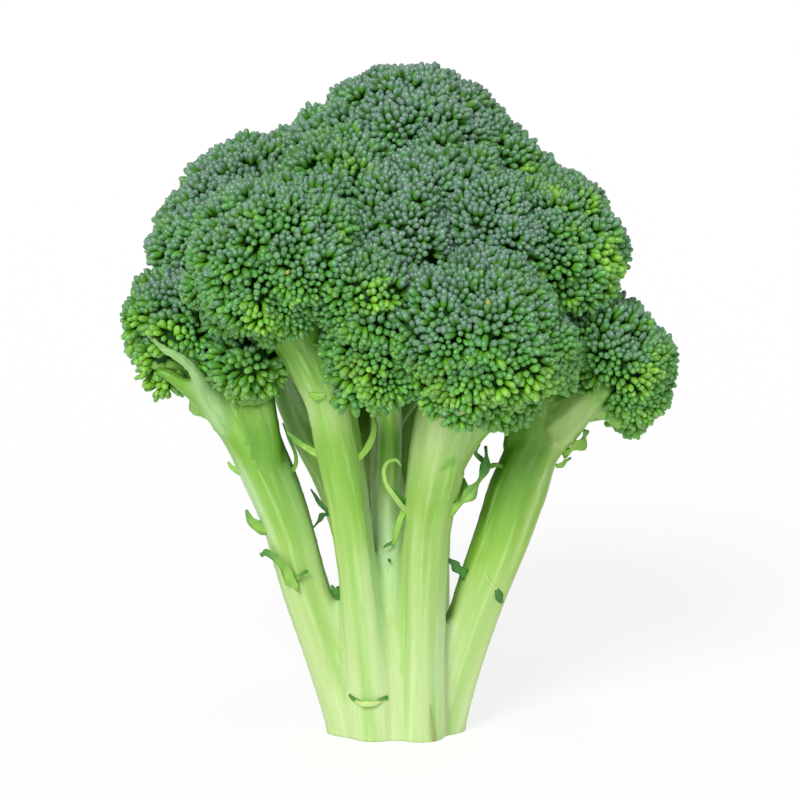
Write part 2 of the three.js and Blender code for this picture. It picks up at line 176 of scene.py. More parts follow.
# Leaflets and scars, as ribbons: places and width along each from its root, then its twist in degrees, how
# lobed its edge is, its darkness at root and tip, and how far its edges cup.
RIBBONS = [
    ([(-12.4, -20.5, 82.6, 1.2), (-9.8, -21.4, 84.4, 1.7), (-7.4, -23, 88, 2), (-6, -24, 92.9, 1.6),
      (-6.9, -23, 97.4, 0.5)], 10, 0.05, 0.35, 0.6, 0.3),
    ([(3.4, -17.4, 67, 1.7), (-0.6, -21, 73, 1.5), (-2.8, -22, 76.8, 1.2), (-3.4, -22, 80.2, 1.1),
      (-2.3, -22.4, 82.8, 1), (0, -23, 83.5, 0.9), (1.4, -24, 82, 0.4)], 15, 0.05, 0.2, 0.5, 0.35),
    ([(3, -16.8, 69, 1.6), (0.9, -19.6, 65.2, 2), (0, -18.8, 61, 1.7),
      (-1, -17.8, 57.6, 0.7)], -15, 0.15, 0.35, 0.75, 0.2),
    ([(2.8, -18, 70.5, 1.6), (-0.6, -20, 73.6, 2.4), (-2, -20, 75.4, 0.8)], 20, 0.25, 0.9, 1, 0.2),
    ([(13.6, -19.8, 66.8, 1.4), (17.4, -21, 70.6, 2.8), (20.6, -20, 73.4, 3), (23.6, -19, 77.4, 2),
      (25.4, -18, 82, 2.2), (25.2, -17, 86.4, 0.8)], 30, 0.45, 0.5, 1.08, 0.35),
    ([(31.5, -9.8, 79, 1.4), (28, -13, 80, 1.3), (25.2, -16.6, 81, 1.7), (22.4, -18, 84.4, 1.4),
      (23.4, -18.4, 87.2, 0.6)], -30, 0.35, 0.6, 1, 0.2),
    ([(17.4, -21, 71.5, 1.4), (16.6, -21, 74, 1.8), (18, -21, 75.6, 0.7)], 10, 0.3, 0.8, 1, 0.2),
    ([(-30.6, -9.4, 76.5, 1.4), (-28.4, -12, 79.5, 1.4), (-28.2, -13.4, 83, 1.2), (-30, -15, 88, 1.1),
      (-31.9, -15, 92.6, 0.5)], 30, 0.12, 0.6, 1.1, 0.3),
    ([(-19.6, -19.6, 83.6, 2), (-22.6, -20.6, 85.2, 2), (-25.6, -19, 86.6, 1.8), (-28.4, -18.6, 88.6, 1.4),
      (-31, -18, 91, 0.5)], -25, 0.1, 0.4, 0.9, 0.4),
    ([(-18, -14.8, 66.4, 1), (-21.2, -12, 68.6, 1.9), (-22.8, -12, 71, 1.2),
      (-24.2, -12, 73, 0.5)], 30, 0.4, 1.1, 1.15, 0.2),
    ([(-18.6, -14.2, 66.4, 1), (-21, -12, 65, 1.6), (-23.4, -12, 61.8, 0.6)], -30, 0.4, 1.1, 1.15, 0.2),
    ([(-29, -11.8, 43.8, 1.8), (-29.4, -13.8, 46.4, 4.6), (-30.8, -14, 50, 3.4), (-33.2, -13.4, 53, 2.8),
      (-36.4, -11.8, 54.6, 2.4), (-38.6, -10.4, 53.6, 1.4)], 15, 0.35, 0.45, 1, 0.25),
    ([(-29.8, -13, 47, 1.8), (-27.6, -14.6, 48.4, 1.8), (-25, -15.2, 50, 0.7)], -20, 0.35, 0.6, 1, 0.2),
    ([(-36.2, -8.8, 61.2, 4.4), (-38.8, -9.4, 62, 4.4), (-41, -9.4, 63.6, 3.4),
      (-42.6, -9.2, 66.4, 1)], 10, 0.25, 0.45, 0.85, 0.2),
    ([(-43.6, -8.4, 77.4, 2.6), (-46.6, -8, 78.6, 1.8), (-47.8, -7.6, 80, 0.8)], 10, 0.3, 0.3, 0.6, 0.2),
    ([(20.4, -8.6, 46.4, 1.6), (18.6, -10, 48.6, 3), (16.8, -11.6, 50.8, 2.6),
      (14.6, -13, 53, 1.2)], 10, 0.3, 1, 1.1, 0.2),
    ([(-15.8, -8.8, 40, 1.8), (-17.2, -9.8, 42.6, 2.4), (-18.4, -10, 44.6, 0.9)], 10, 0.3, 0.9, 1, 0.2),
    ([(47, -7, 82.6, 2.2), (50.6, -8, 84.4, 3.2), (53, -8.4, 86.8, 2.9),
      (54, -8, 89.4, 1)], 20, 0.45, 0.35, 0.8, 0.3),
    ([(45.4, -7.4, 78.6, 1.8), (48, -7.6, 80, 1.5), (49.6, -7.8, 81.4, 0.6)], 20, 0.3, 0.4, 0.8, 0.2),
    ([(-24.2, -28.8, 103.8, 0.5), (-23, -29.4, 103, 2), (-21.7, -29.7, 102.7, 2.6), (-20.4, -29.8, 102.9, 2),
      (-19.2, -29.9, 103.6, 0.5)], 0, 0.1, 0.5, 0.5, 0),
    ([(28.7, -11, 43.6, 1.4), (29.5, -10.6, 41.4, 2.8), (30.2, -9.4, 39.4, 1.2)], 0, 0.05, 1.05, 1.05, 0),
    ([(25.6, -12, 48.1, 0.6), (26.7, -11.8, 45.7, 0.8), (29.1, -10.9, 43.2, 0.6)], 0, 0, 0, 0, 0),
    ([(-13.4, -14.1, 13.4, 0.9), (-12, -15.5, 12.4, 1.3), (-10.4, -16.5, 12.1, 0.9)], 0, 0.1, 1, 0.8, 0),
    ([(-11.6, -15.9, 12.1, 1.3), (-10.2, -17, 11.6, 1.5), (-8, -17.7, 11.6, 2), (-5.4, -17.2, 11.9, 1.4),
      (-4.2, -16.6, 12.4, 1)], 0, 0.12, 0.05, 0.05, 0),
    ([(-5.4, -17.2, 12.5, 0.8), (-3.8, -16.4, 12.8, 1.2), (-2.4, -15.6, 13.1, 1)], 0, 0.1, 0.7, 1, 0),
    ([(-2.2, -12.1, 52.9, 0.4), (-1.9, -12.2, 52.3, 1), (-1.8, -12.1, 51.6, 0.4)], 0, 0, 1.1, 1.1, 0),
    ([(-3.6, -12, 56, 0.4), (-2.2, -12.3, 57, 1.2), (-0.6, -12.5, 58.2, 0.4)], 0, 0.1, 0.9, 0.9, 0),
    ([(9.7, -17.5, 11.4, 0.2), (10.2, -17, 5.8, 0.5), (10.8, -16.5, 0.4, 0.9)], 0, 0.1, 1.6, 2, 0),
]
# Plainer leaflets round the back: branch, height, bearing, length, width, lean, curl and turn.
LEAFLETS = [
    ("back_left", 58, 110, 11, 5.5, 30, 60, -40),
    ("back_middle", 50, 80, 14, 6.5, 40, 55, 20),
    ("back_right", 60, 50, 12, 5.5, 35, 65, -30),
    ("left", 56, 100, 9, 4, 30, 60, 30),
    ("right", 50, 70, 10, 4, 40, 50, -30),
    ("back_left", 34, 190, 6, 4, 50, 40, 20),
]
LEAFLET_LOOK = (30, 0.3, 0.3, 0.9, 0.35)  # their twist, lobes, darkness at root and tip, and cup
LEAFLET_SEED = 5

# ---- How the stalk's green, its painted shade and painted light, and its waxy bloom change ----

# How much greener than the rest each branch is.
BRANCH_GREENS = {"heart": 0.1, "left": 0.8, "front_left": 0.45, "middle": 0.1, "front_right": 0.35, "right": 0.8,
                 "back_left": 0.5, "back_middle": 0.4, "back_right": 0.4}
STEM_GREEN = 0.35
# Where a branch is greener or paler than that: branch and strength, then what the change comes in over, and from
# where to where: the height, how far the skin faces right, or the place across the branch.
ALONG_GREENS = [
    # The front left branch is painted paler from 84 to 116 mm up, as painted light under its head.
    ("front_left", -1.2, ("high", 84, 100), ("high", 116, 100)), ("front_right", -0.95, ("high", 72, 92)),
    ("left", -0.5, ("high", 60, 42)), ("right", -0.4, ("high", 55, 40)),
]
# Painted shade on the upper sides of the left and right branches that face in towards the others.
INWARD_SHADES = [
    ("left", 1.1, ("facing", -0.2, 0.6), ("high", 56, 84)), ("right", 1.2, ("facing", 0.5, -0.35), ("high", 44, 76)),
]
# Where it has more bloom: the same.
SIDE_WAX = [
    ("left", 0.3, ("facing", 0.2, 0.85), ("high", 40, 58)), ("middle", 0.9, ("high", 76, 50)),
    ("left", 0.9, ("across", 3.4, 5.6), ("high", 50, 66), ("high", 86, 74)),
    ("front_left", 0.6, ("facing", 0, 0.8), ("high", 70, 50)),
]
WEB_WAX, WEB_TOP, BRANCHLET_WAX = 1, 66, 0.5
# Greener streaks: branch, place across it, width, lowest and highest height, and strength.
STREAKS = [
    ("left", 0.2, 1.7, 60, 86, 0.9), ("front_left", -2.6, 1.5, 54, 84, 0.8), ("front_right", -0.4, 1.8, 50, 76, 0.6),
    ("right", 0.4, 2, 60, 90, 0.8), ("front_left", 3, 1, 80, 104, 0.4), ("front_right", -5, 1.2, 70, 90, 0.5),
    ("back_left", 1, 1.5, 40, 80, 0.6), ("back_middle", -2, 1.5, 40, 90, 0.6), ("back_right", 1, 1.6, 40, 90, 0.6),
]
STREAK_FADE = 6  # a streak comes in this far to each side of its ends
# Darker stretches, as painted shade where the heads and the other branches shade the stalk, and lighter ones, as
# painted light, where the strength is below 0: place, reach, strength, and how many times taller than wide.
SHADES = [
    ((-36, -15, 88), 10, 1.5, 1.3), ((35.5, -12, 88), 6.5, 1.5, 1.6), ((41, -12, 99), 5.5, 1.7, 1.3),
    ((47, -13, 88), 6.5, -1.1, 2), ((52, -13, 98), 8, -0.9, 1.2), ((-1, -8, 92), 11, 1.5, 1.6),
    ((-28, 16, 92), 13, 1.8, 1.4), ((-19, -9, 20), 5, 1.4, 4), ((24, -8, 44), 4.5, 0.8, 3.5),
    ((31, -8, 66), 5, 0.7, 2.4),
]
# Stretches with more waxy bloom: the same.
WAXY = [((12.5, -15, 28), 3.2, 0.7, 7), ((-5, -9, 66), 5, 0.6, 3), ((-9, -22, 84), 3, 0.3, 4)]
# Darker stains: place and reach.
STAINS = [
    ((15.6, -28.2, 84.2), 1.8), ((14.3, -28.4, 83.1), 1.4), ((13.3, -28.6, 81.9), 1.1), ((-21.6, -29.8, 102.2), 2.2),
]
STAIN_STRENGTH = 1.6
GREEN_ROUNDS, INNER_ROUNDS, SHADE_ROUNDS, WAX_ROUNDS = 25, 4, 14, 5  # how often each is evened out over the mesh
RIB_WAVES = [(4, 1, 1), (7, -2, 0.5), (12, 3, 0.22)]  # ribs round a stem: how many, how they drift, and height

# ---- How the buds' looks change ----

# Patches of younger, yellower buds: place and reach.
YOUNG_PATCHES = [
    ((-17, -21, 170), 8), ((-9, -22, 167), 7), ((-22, -3, 172), 6), ((-41, -51, 156), 6), ((-20, -44, 158), 6),
    ((-21, -52, 150), 4), ((-5, -55, 136), 9), ((-29, -57, 133), 6), ((-36, -54, 126), 9), ((40, -13, 164), 7),
    ((45, -17, 161), 7), ((57, -14, 157), 5), ((51, -27, 145), 5), ((60, -21, 141), 9), ((66, -12, 134), 7),
    ((23, 6, 182), 6), ((16, 2, 185), 6), ((-66, -22, 122), 8), ((-73, -17, 122), 7), ((-70, -14, 106), 9),
    ((9, -60, 108), 9), ((28, -61, 106), 9), ((39, -54, 111), 8), ((-11, -50, 111), 9), ((71, -23, 106), 8),
    ((60, -25, 101), 9), ((74, -17, 115), 6), ((-30, -30, 106), 10), ((47, 40, 118), 14), ((-30, 56, 118), 14),
    ((40, -9, 162), 7), ((38, 3, 163), 5), ((41, -16, 159), 6), ((46, -22, 156), 6), ((50, -25, 148), 6),
    ((59, -19, 142), 6), ((63, -13, 130), 6), ((60, -14, 136), 6), ((27, 14, 180), 7), ((24, 11, 184), 5),
    ((54, -15, 155), 6), ((-14, -24, 166), 6), ((-36, -53, 156), 4), ((-40, -54, 153), 4), ((-14, -45, 150), 5),
    ((-37, -53, 125), 6), ((-73, -18, 119), 7), ((-74, -16, 108), 6), ((17, -62, 119), 7), ((-61, -24, 120), 7),
    ((11, 10, 189), 5), ((-69, -14, 111), 6), ((-32, -48, 123), 6), ((8, 62, 112), 12), ((-8, 60, 150), 9),
    ((-60, 34, 122), 9), ((24, 40, 176), 7), ((-44, 44, 148), 7), ((60, 30, 130), 7),
]
# Patches with more of the grey-blue waxy bloom: place and reach.
BLOOM_PATCHES = [
    ((4, -26, 150), 27), ((26, -30, 150), 22), ((14, -62, 128), 17), ((6, 8, 186), 30), ((-50, -6, 160), 20),
    ((-64, -14, 130), 12), ((-20, -60, 146), 10), ((66, -18, 118), 13), ((24, 22, 184), 20), ((0, 50, 160), 22),
    ((-42, 44, 150), 16), ((46, 40, 150), 16), ((-60, -17, 132), 8), ((-50, -48, 128), 7), ((30, -38, 150), 12),
    ((3, -46, 137), 9), ((12, -54, 138), 8), ((18, 0, 175), 9), ((-63, -10, 140), 9), ((-70, -1, 138), 8),
    ((54, -20, 126), 6), ((54, -21, 112), 8), ((31, -59, 125), 8), ((-1, -9, 176), 9), ((-25, -27, 163), 6),
    ((4, -40, 151), 8), ((18, -44, 144), 7), ((39, -50, 131), 7), ((3, -59, 118), 6),
]
# Patches of darker or lighter buds: place, reach and strength.
TONE_PATCHES = [
    ((-13, -53, 117), 8, -0.5), ((3, -59, 118), 7, -0.45), ((10, -58, 111), 8, -0.45), ((-53, -37, 129), 8, -0.45),
    ((11, -39, 143), 7, -0.4), ((18, -44, 144), 6, -0.4), ((-4, -10, 176), 9, 0.45), ((4, -40, 151), 7, 0.4),
    ((-55, -20, 112), 7, 0.45), ((-61, -24, 120), 7, 0.4), ((-24, -50, 152), 7, 0.35), ((33, 3, 168), 8, 0.4),
    ((54, -22, 141), 8, 0.4), ((-53, -30, 105), 6, 0.3), ((26, 14, 181), 8, -0.3),
]
# Single buds that have begun to open.
OPEN_BUDS = [(25.4, -60.5, 136.5), (17, -60, 101.5), (-29.5, -57, 141), (-10, -8, 182), (30, 58, 128)]

# ---- How the heads grow ----

# Hollows and cracks between the bud heads: place and reach.
HOLLOWS = [
    ((-61, -20, 107.6), 5), ((-57, -17.5, 102.6), 4.4), ((-66, -20, 110.2), 3), ((-75, -12, 102), 4.2),
    ((9.5, -39.6, 142.8), 1.6), ((12.5, -41.5, 142.6), 1.9), ((15.5, -43, 142.4), 1.5), ((2, -51.5, 134.6), 1.6),
    ((3.6, -49.5, 138), 1.2), ((51, -24, 123.6), 2.7), ((47, -27, 125), 1.8), ((-44, 48, 146), 2), ((30, 52, 122), 2),
    ((46.5, -46, 100), 6), ((44, -37, 97), 6), ((45, -28, 98), 5.5),
]
DEEP_HOLLOW = 5.2  # a hollow of more than this reach shows pale flesh
# Small clusters that hang off the heads: head, place and radius.
HANGING = [
    ("low_left", (-69, -14, 109.4), 1.8), ("low_left", (-66.5, -13, 108.4), 1), ("low_left", (-71, -11.5, 111), 2),
    ("front_low", (-13, -41, 104.4), 3), ("front_right", (17, -52, 102), 3),
]
# Heads that grow looser, on longer stalks.
LOOSE_HEADS = {"under_left": 0.8, "front_low": 0.3, "low_left": 0.25}
# How far a head of buds has settled from its solid: sideways, back, up, in radius and at its seat.
SETTLED = {
    "top": (1, 0, 0.6, -1.3, 0), "top_left": (-0.8, 0, -3.6, -0.5, 0), "upper_left": (0.7, 0, -2.4, -1.2, 0),
    "mid_left": (1.6, 0, -1.2, -0.5, 0), "low_left": (0.7, 0, -0.3, -0.5, 0), "top_right": (-1.8, 0, -2.2, -1.2, 0),
    "shoulder_right": (-1.6, 0, -2.8, -1, 0), "upper_right": (1.2, 0, -1.9, -0.3, 0),
    "side_right": (-4, 0, -3.2, -1.5, 0), "low_right": (0.1, 0, 0.8, -0.8, 3.4), "under_left": (0.4, 0, 1.4, -3, 0),
}
CROWN_FOOT, CROWN_HEIGHT = 90, 100  # lowest height of the crown, and from there to its top
CELL = 0.866  # ground that one place of an even lattice takes, as a share of its pitch squared
CLUSTER_JITTER = 0.2  # how far the clusters stand from an even lattice, in pitches
CLUSTER_SIZES, CLUSTER_MOST = (0.72, 1.28), 0.5  # their sizes, as shares of the usual one, and at most of their head's
SWELL_HEIGHT, SWELL_REACH, SWELL_LIMITS = 4.2, 14, (-5, 0.8)  # how the clusters rise and sink over a head
SWELL_RANDOM, SWELL_DOWN = 1.6, 0.6  # how far they do so at random, and how far all sink
CREASE_DEPTH, CREASE_REACH = 3.2, 9  # how far they fill out again towards a neighbouring head
BELOW = (-0.1, 0.3)  # where the underside of a head begins and is whole, in radii below its centre
BELOW_SHRINK, BELOW_LOST = 0.35, 0.15  # how much smaller clusters get there, and how many are missing
SEAT_ROOM, NEXT_ROOM = 1.5, 0.5  # how far a cluster's centre stays from the seat, and from the next head
HOLLOW_SHARE = 0.35  # how much of its radius a cluster stays out of a hollow
BUD_ROOM = 2  # how far the buds stand out of a cluster's dome
BOX_ROOM = 0.1  # how far the clusters' buds stay from the box of the solids
PITCH_SPREAD = (0.9, 1.12)  # how the buds' pitch varies from cluster to cluster
CAP_SHARE, CAP_RISE = 0.85, 1.5  # the share of a cluster's ball that bears buds, and how far out their tips are counted
BUD_JITTER = 0.13  # how far the buds stand from an even spiral, in pitches
TOP_SIZE, SIDE_GROWTH = 0.84, 0.34  # size of the bud on top of a cluster, and how much larger they get towards its side
SEAT_HANG = 2.5  # how far below the seat buds may stand
UNDERSIDE = -0.15  # height on a head, in radii from its centre, below which a bud may be buried in its own head
LOOSE_LOST = 0.15  # how many buds a loose head lacks
SAME_OVERLAP, NEXT_OVERLAP = 0.5, 0.3  # how far a bud may stand inside another cluster of its head, or of the next
SAME_BURIED, NEXT_BURIED = 1.6, 0.6  # how deep it may lie under the clusters of its head, or of the next
HOLLOW_ROOM = 1.4  # how far from a hollow's middle the buds begin, in its reaches
STEM_ROOM = 0.3  # how far from the stems they stand
BUD_CROWDING = 0.58  # how near two buds may stand, in pitches
TUFT_FAN = 0.55  # how far out in a tuft a bud leans all the way, in pitches
TUFT_EDGE = 1.3  # no bud counts as further out than this, as a share of that
LEAN_WEIGHTS = (0.7, 0.45, 0.24, 0.14)  # a bud leans with its cluster, with its head, out of its tuft and at random
# How much each thing adds to a bud's youth, its bloom and its own tone.
YOUTH = {"always": -0.02, "facing_down": 0.26, "low": 0.22, "wide_noise": 0.36, "fine_noise": 0.3, "random": 0.2,
         "young_head": 0.07, "patch": 0.58}
# Bloom on buds that face up is partly their real waxy bloom and partly painted reflection of the white sky.
BLOOM = {"always": -0.14, "facing_up": 0.6, "high": 0.32, "wide_noise": 0.25, "fine_noise": 0.15, "random": 0.12,
         "youth": -0.55, "patch": 0.4}
TONE = {"always": 0.5, "wide_noise": 0.25, "random": 0.2, "patch": 1}
BLOOM_AGE = 0.2  # how much a patch of bloom takes off the youth of its buds
SIZE_SPREAD, LENGTH_SPREAD = 0.09, (0.85, 1.15)  # how the buds vary in size, and in length besides
MIDDLE_SIZE, EDGE_GROWTH = 0.92, 0.12  # size of the bud in the middle of a tuft, and how much larger they get outwards
RIM_SHRINK, RIM_SHORTENING = 0.06, 0.1  # how much smaller they are at a low rim, and shorter besides
RISE_RANDOM, RISE_RIM, RISE_WAVE = (-0.55, 0.65), 0.45, 0.6  # how far they stand out: at random, at a low rim, in waves
RISE_MIDDLE, RISE_FALL = 0.1, 0.75  # and in the middle of a tuft, and how much less at its edge
DROOP = (-0.2, 1.8)  # how much further out drooping ones hang
STALKED_RIM, STALKED_YOUNG = 0.4, 0.15  # how many buds show a stalk at a low rim, and more on young heads
OPEN_REACH = 6  # a bud that opens is at most this far from its given place
BIG_HEAD = 22  # heads of more than this radius have a finer core
CORE_DEPTH = 1.7  # from a cluster's dome down to the flesh
CORE_LEAST = 0.5  # least radius of the flesh, as a share of its head's
HOLLOW_EDGE = 1.5  # how far from a hollow's middle the flesh is pale, in its reaches
SEAT_SLOPE = 0.62  # how the flesh under a head slopes up from its seat
RIB_LIMIT = 0.2  # clusters above this height on a head, in radii from its centre, need no little stalk
RIB_RADII = (2.6, 1.7, 1.5)  # of the little stalks under a head: at the stem, half way and in the cluster

# Outlines of a short bud, a stalked one and a drooping one: width and height, as shares of a bud's own.
RIM_HEIGHT = 0.4
BUD_OUTLINES = [
    [(0, -0.75), (0.95, -0.04), (0.94, 0.22), (0.62, RIM_HEIGHT), (0, 0.46)],
    [(0, -1.1), (0.42, -0.3), (0.98, 0.06), (0.66, RIM_HEIGHT), (0, 0.46)],
    [(0, -1.8), (0.36, -0.36), (0.98, 0.06), (0.66, RIM_HEIGHT), (0, 0.46)],
]
FLESH = {"bloom": 0, "youth": 0.35, "tone": 0.4, "opening": 0, "tip": 0.1, "ring": 0}
CORE_WOOD, HOLLOW_WOOD, RIB_WOOD = -1, 0.7, 1  # from flesh painted dark, as painted shade down between the buds, to pale

CIRCLE_START = math.pi / 2  # where a circle's first corner stands
POINTS_AT_ONCE = 8000  # so that the search for the nearest stem fits in memory
# Corners round a leaflet's blade: place across it, and whether on its upper or under side.
BLADE_ACROSS = np.array([-1, -0.5, 0, 0.5, 1, 0.5, 0, -0.5])
BLADE_OVER = np.array([0, 1, 1, 1, 0, -1, -1, -1])
BLADE_THICKNESS = 0.32  # half of it, at most

# ---- Colours that stay as they are ----

# The pale rim green is partly the whitish edges of the sepals and partly painted highlight on each bud's rim.
TIP_PURPLE, RIM_PALE_AND_HIGHLIGHT, PETAL_YELLOW = (0.15, 0.15, 0.19), (0.4, 0.6, 0.4), (0.42, 0.4, 0.07)
DARK_TONE, LIGHT_TONE = (0.3, 0.3, 0.3), (0.8, 0.8, 0.8)
# The core's dark green is painted shade: the flesh seen down between the buds and in the cracks.
RIB_GREEN, CORE_SHADE_GREEN = (0.2, 0.42, 0.07), (0.006, 0.07, 0.003)
GROOVE_GREEN, STREAK_GREEN, BAND_GREEN = (0.25, 0.52, 0.07), (0.6, 0.83, 0.36), (0.2, 0.45, 0.035)
FLECK_GREEN, WAX_GREEN, STAIN_GREEN = (0.23, 0.49, 0.065), (0.5, 0.71, 0.4), (0.13, 0.37, 0.03)
LEAF_ROOT, LEAF_MIDDLE, LEAF_DARK = (0.5, 0.66, 0.22), (0.27, 0.52, 0.07), (0.02, 0.085, 0.02)
SCAR_BROWN, FLOOR_GREY = (0.36, 0.36, 0.1), (0.22, 0.22, 0.22)
# Sockets of the surface shader, by the words used for them here.
SOCKETS = {
    "color": "Base Color", "roughness": "Roughness", "normal": "Normal", "specular": "Specular IOR Level",
    "subsurface": "Subsurface Weight", "radius": "Subsurface Radius", "scale": "Subsurface Scale",
    "glow": "Emission Color", "glow_strength": "Emission Strength",
}

# ---- The studio, in metres ----

MIDDLE = Vector((0.0011, 0, 0.0965))  # what the camera looks at
LIGHT_WAY = Vector((0.3, 0.88, -0.62))
FLOOR_REACH, SENSOR_WIDTH = 6, 36


# ---- Numbers ----

def in_mm(length):
    """A length that is kept in metres, in millimetres."""
    return round(length / MM, 4)


def unit(rows):
    """Each row at length 1."""
    return rows / np.linalg.norm(rows, axis=1, keepdims=True)


def distances(points, places):
    """From each point to each place."""
    return np.linalg.norm(points[:, None] - places[None], axis=2)


def smooth_step(value, low, high):
    """0 below low, 1 above high, and a smooth rise between."""
    share = np.clip((value - low) / (high - low), 0.0, 1.0)
    return share * share * (3 - 2 * share)


def wide_noise(places, scale, seed):
    """Smooth noise from -1 to 1 at each place."""
    shift = Vector((seed * 7.3, seed * 3.1, seed * 5.7))
    return np.array([noise.noise(Vector(place) / scale + shift) for place in places])


def patches(points, rows, core=0.4):
    """The summed strength, at each point, of patches that fade out from a core: rows of place, reach, and maybe
    strength and how many times taller than wide."""
    total = np.zeros(len(points))
    for place, reach, *more in rows:
        strength, tall = (*more, 1, 1)[:2]
        away = np.linalg.norm((points - place) / (1, 1, tall), axis=1)
        total += strength * (1 - smooth_step(away, reach * core, reach))
    return total


# ---- Paths ----

def smooth_path(points, steps):
    """Places and radii along the smooth line through the points, evenly between each two."""
    points = np.array(points, float)
    line = points[:, :3]
    line = np.vstack([2 * line[0] - line[1], line, 2 * line[-1] - line[-2]])
    places = []
    for i in range(1, len(line) - 2):
        p0, p1, p2, p3 = line[i - 1:i + 3]
        d0, d1, d2 = (math.sqrt(max(np.linalg.norm(b - a), 1e-6)) for a, b in ((p0, p1), (p1, p2), (p2, p3)))
        out = ((p1 - p0) / d0 - (p2 - p0) / (d0 + d1) + (p2 - p1) / d1) * d1
        into = ((p2 - p1) / d1 - (p3 - p1) / (d1 + d2) + (p3 - p2) / d2) * d1
        last = i == len(line) - 3
        for step in range(steps + last):
            t = step / steps
            spot = (2 * t**3 - 3 * t**2 + 1) * p1 + (t**3 - 2 * t**2 + t) * out
            spot = spot + (3 * t**2 - 2 * t**3) * p2 + (t**3 - t**2) * into
            radius = points[i - 1, 3] * (1 - t) + points[min(i, len(points) - 1), 3] * t
            places.append((*spot, radius))
    return np.array(places)


def head_axis(name):
    """The way a head faces: away from the last place its stem passes."""
    return (Vector(HEADS[name][:3]) - Vector(STEM_OF[name][-1][:3])).normalized()


def head_of(name):
    """A head's centre, its radius and the way it faces."""
    return np.array(HEADS[name][:3]), HEADS[name][3], np.array(head_axis(name))


def path_to_seat(name):
    """The path of a head's stem on to its seat, widening as it goes."""
    path, radius, axis = STEM_OF[name], HEADS[name][3], head_axis(name)
    seat = Vector(HEADS[name][:3]) - axis * SEAT_DEPTH * radius
    flare = SLIM_FLARES.get(name, STEM_FLARE) * radius
    before = seat - axis * SEAT_RUN
    return [*path, (*before, (path[-1][3] + flare) / 2), (*seat, flare)]


def rooted(path):
    """A branch's path, starting a little below the cut."""
    x, y, _, radius = path[0]
    return [(x, y, -ROOT_DEPTH, radius), *path]


def all_tubes():
    """Every stem of the stalk as places and radii along it: heart, branches, stems, webs and branchlets."""
    branches = [rooted(path_to_seat(head)) for head, _ in BRANCHES.values()]
    stems = [path_to_seat(head) for head, _ in STEMS]
    return [smooth_path(path, TUBE_STEPS) for path in (rooted(HEART), *branches, *stems, *WEBS, *BRANCHLETS)]


# ---- Meshes ----

def link(name, data):
    """An object in the scene for a mesh, a curve, a camera or a light, at the origin."""
    piece = bpy.data.objects.new(name, data)
    bpy.context.scene.collection.objects.link(piece)
    return piece


def read(items, key, width, kind=np.float32):
    """One property of all corners or edges of a mesh, with a row for each."""
    values = np.empty(len(items) * width, kind)
    items.foreach_get(key, values)
    return values.reshape(-1, width)


def keep_values(mesh, name, values):
    """Keep a number or a place at each corner of a mesh, for its finish to read."""
    kind, key = ("FLOAT", "value") if values.ndim == 1 else ("FLOAT_VECTOR", "vector")
    mesh.attributes.new(name, kind, "POINT").data.foreach_set(key, values.astype(np.float32).ravel())


def mesh_from_arrays(name, parts):
    """One mesh of triangles out of several sets of corners, triangles and values at the corners."""
    corners = np.concatenate([part["corners"] for part in parts])
    starts = np.cumsum([0] + [len(part["corners"]) for part in parts])
    triangles = np.concatenate([part["triangles"] + start for part, start in zip(parts, starts)])
    mesh = bpy.data.meshes.new(name)
    mesh.vertices.add(len(corners))
    mesh.vertices.foreach_set("co", (corners * MM).astype(np.float32).ravel())
    mesh.loops.add(triangles.size)
    mesh.loops.foreach_set("vertex_index", triangles.astype(np.int32).ravel())
    mesh.polygons.add(len(triangles))
    mesh.polygons.foreach_set("loop_start", np.arange(0, triangles.size, 3, dtype=np.int32))
    smooth = np.concatenate([np.full(len(part["triangles"]), part.get("smooth", True)) for part in parts])
    mesh.polygons.foreach_set("use_smooth", smooth)
    for key in parts[0]["values"]:
        keep_values(mesh, key, np.concatenate([part["values"][key] for part in parts]))
    mesh.update(calc_edges=True)
    mesh.validate()
    return mesh


def arrays_of(bm):
    """The corners and triangles of a bmesh, which is then freed."""
    bmesh.ops.triangulate(bm, faces=bm.faces[:])
    bm.verts.index_update()
    corners = np.array([vert.co for vert in bm.verts])
    triangles = np.array([[vert.index for vert in face.verts] for face in bm.faces])
    bm.free()
    return corners, triangles


def turned(profile, sides):
    """A closed shape turned from a profile of radius and height, whose ends lie on the axis."""
    bm = bmesh.new()
    verts = [bm.verts.new((radius, 0, height)) for radius, height in profile]
    edges = [bm.edges.new(pair) for pair in zip(verts, verts[1:])]
    bmesh.ops.spin(bm, geom=verts + edges, cent=(0, 0, 0), axis=(0, 0, 1), angle=math.tau, steps=sides, use_merge=True)
    bmesh.ops.remove_doubles(bm, verts=bm.verts[:], dist=1e-5)
    bmesh.ops.recalc_face_normals(bm, faces=bm.faces[:])
    return arrays_of(bm)


def ball(subdivisions):
    """Directions and triangles of an even ball."""
    bm = bmesh.new()
    bmesh.ops.create_icosphere(bm, subdivisions=subdivisions, radius=1)
    return arrays_of(bm)


def frames_along(normals, spins):
    """For each normal, a turned frame whose third column is that normal."""
    normals = unit(normals)
    helper = np.where(np.abs(normals[:, 2:3]) < 0.9, [[0, 0, 1.0]], [[1.0, 0, 0]])
    across = unit(np.cross(helper, normals))
    over = np.cross(normals, across)
    cos, sin = np.cos(spins)[:, None], np.sin(spins)[:, None]
    return np.stack([across * cos + over * sin, over * cos - across * sin, normals], axis=2)


def copies(shape, places, frames, scales):
    """Copies of a shape at each place, in each frame, and the number of the copy at each corner."""
    corners, triangles = shape
    grown = corners[None] * scales[:, None, :]
    moved = np.einsum("nij,nkj->nki", frames, grown) + places[:, None, :]
    count, size = len(places), len(corners)
    shifted = triangles[None] + (np.arange(count) * size)[:, None, None]
    return moved.reshape(-1, 3), shifted.reshape(-1, 3), np.repeat(np.arange(count), size)


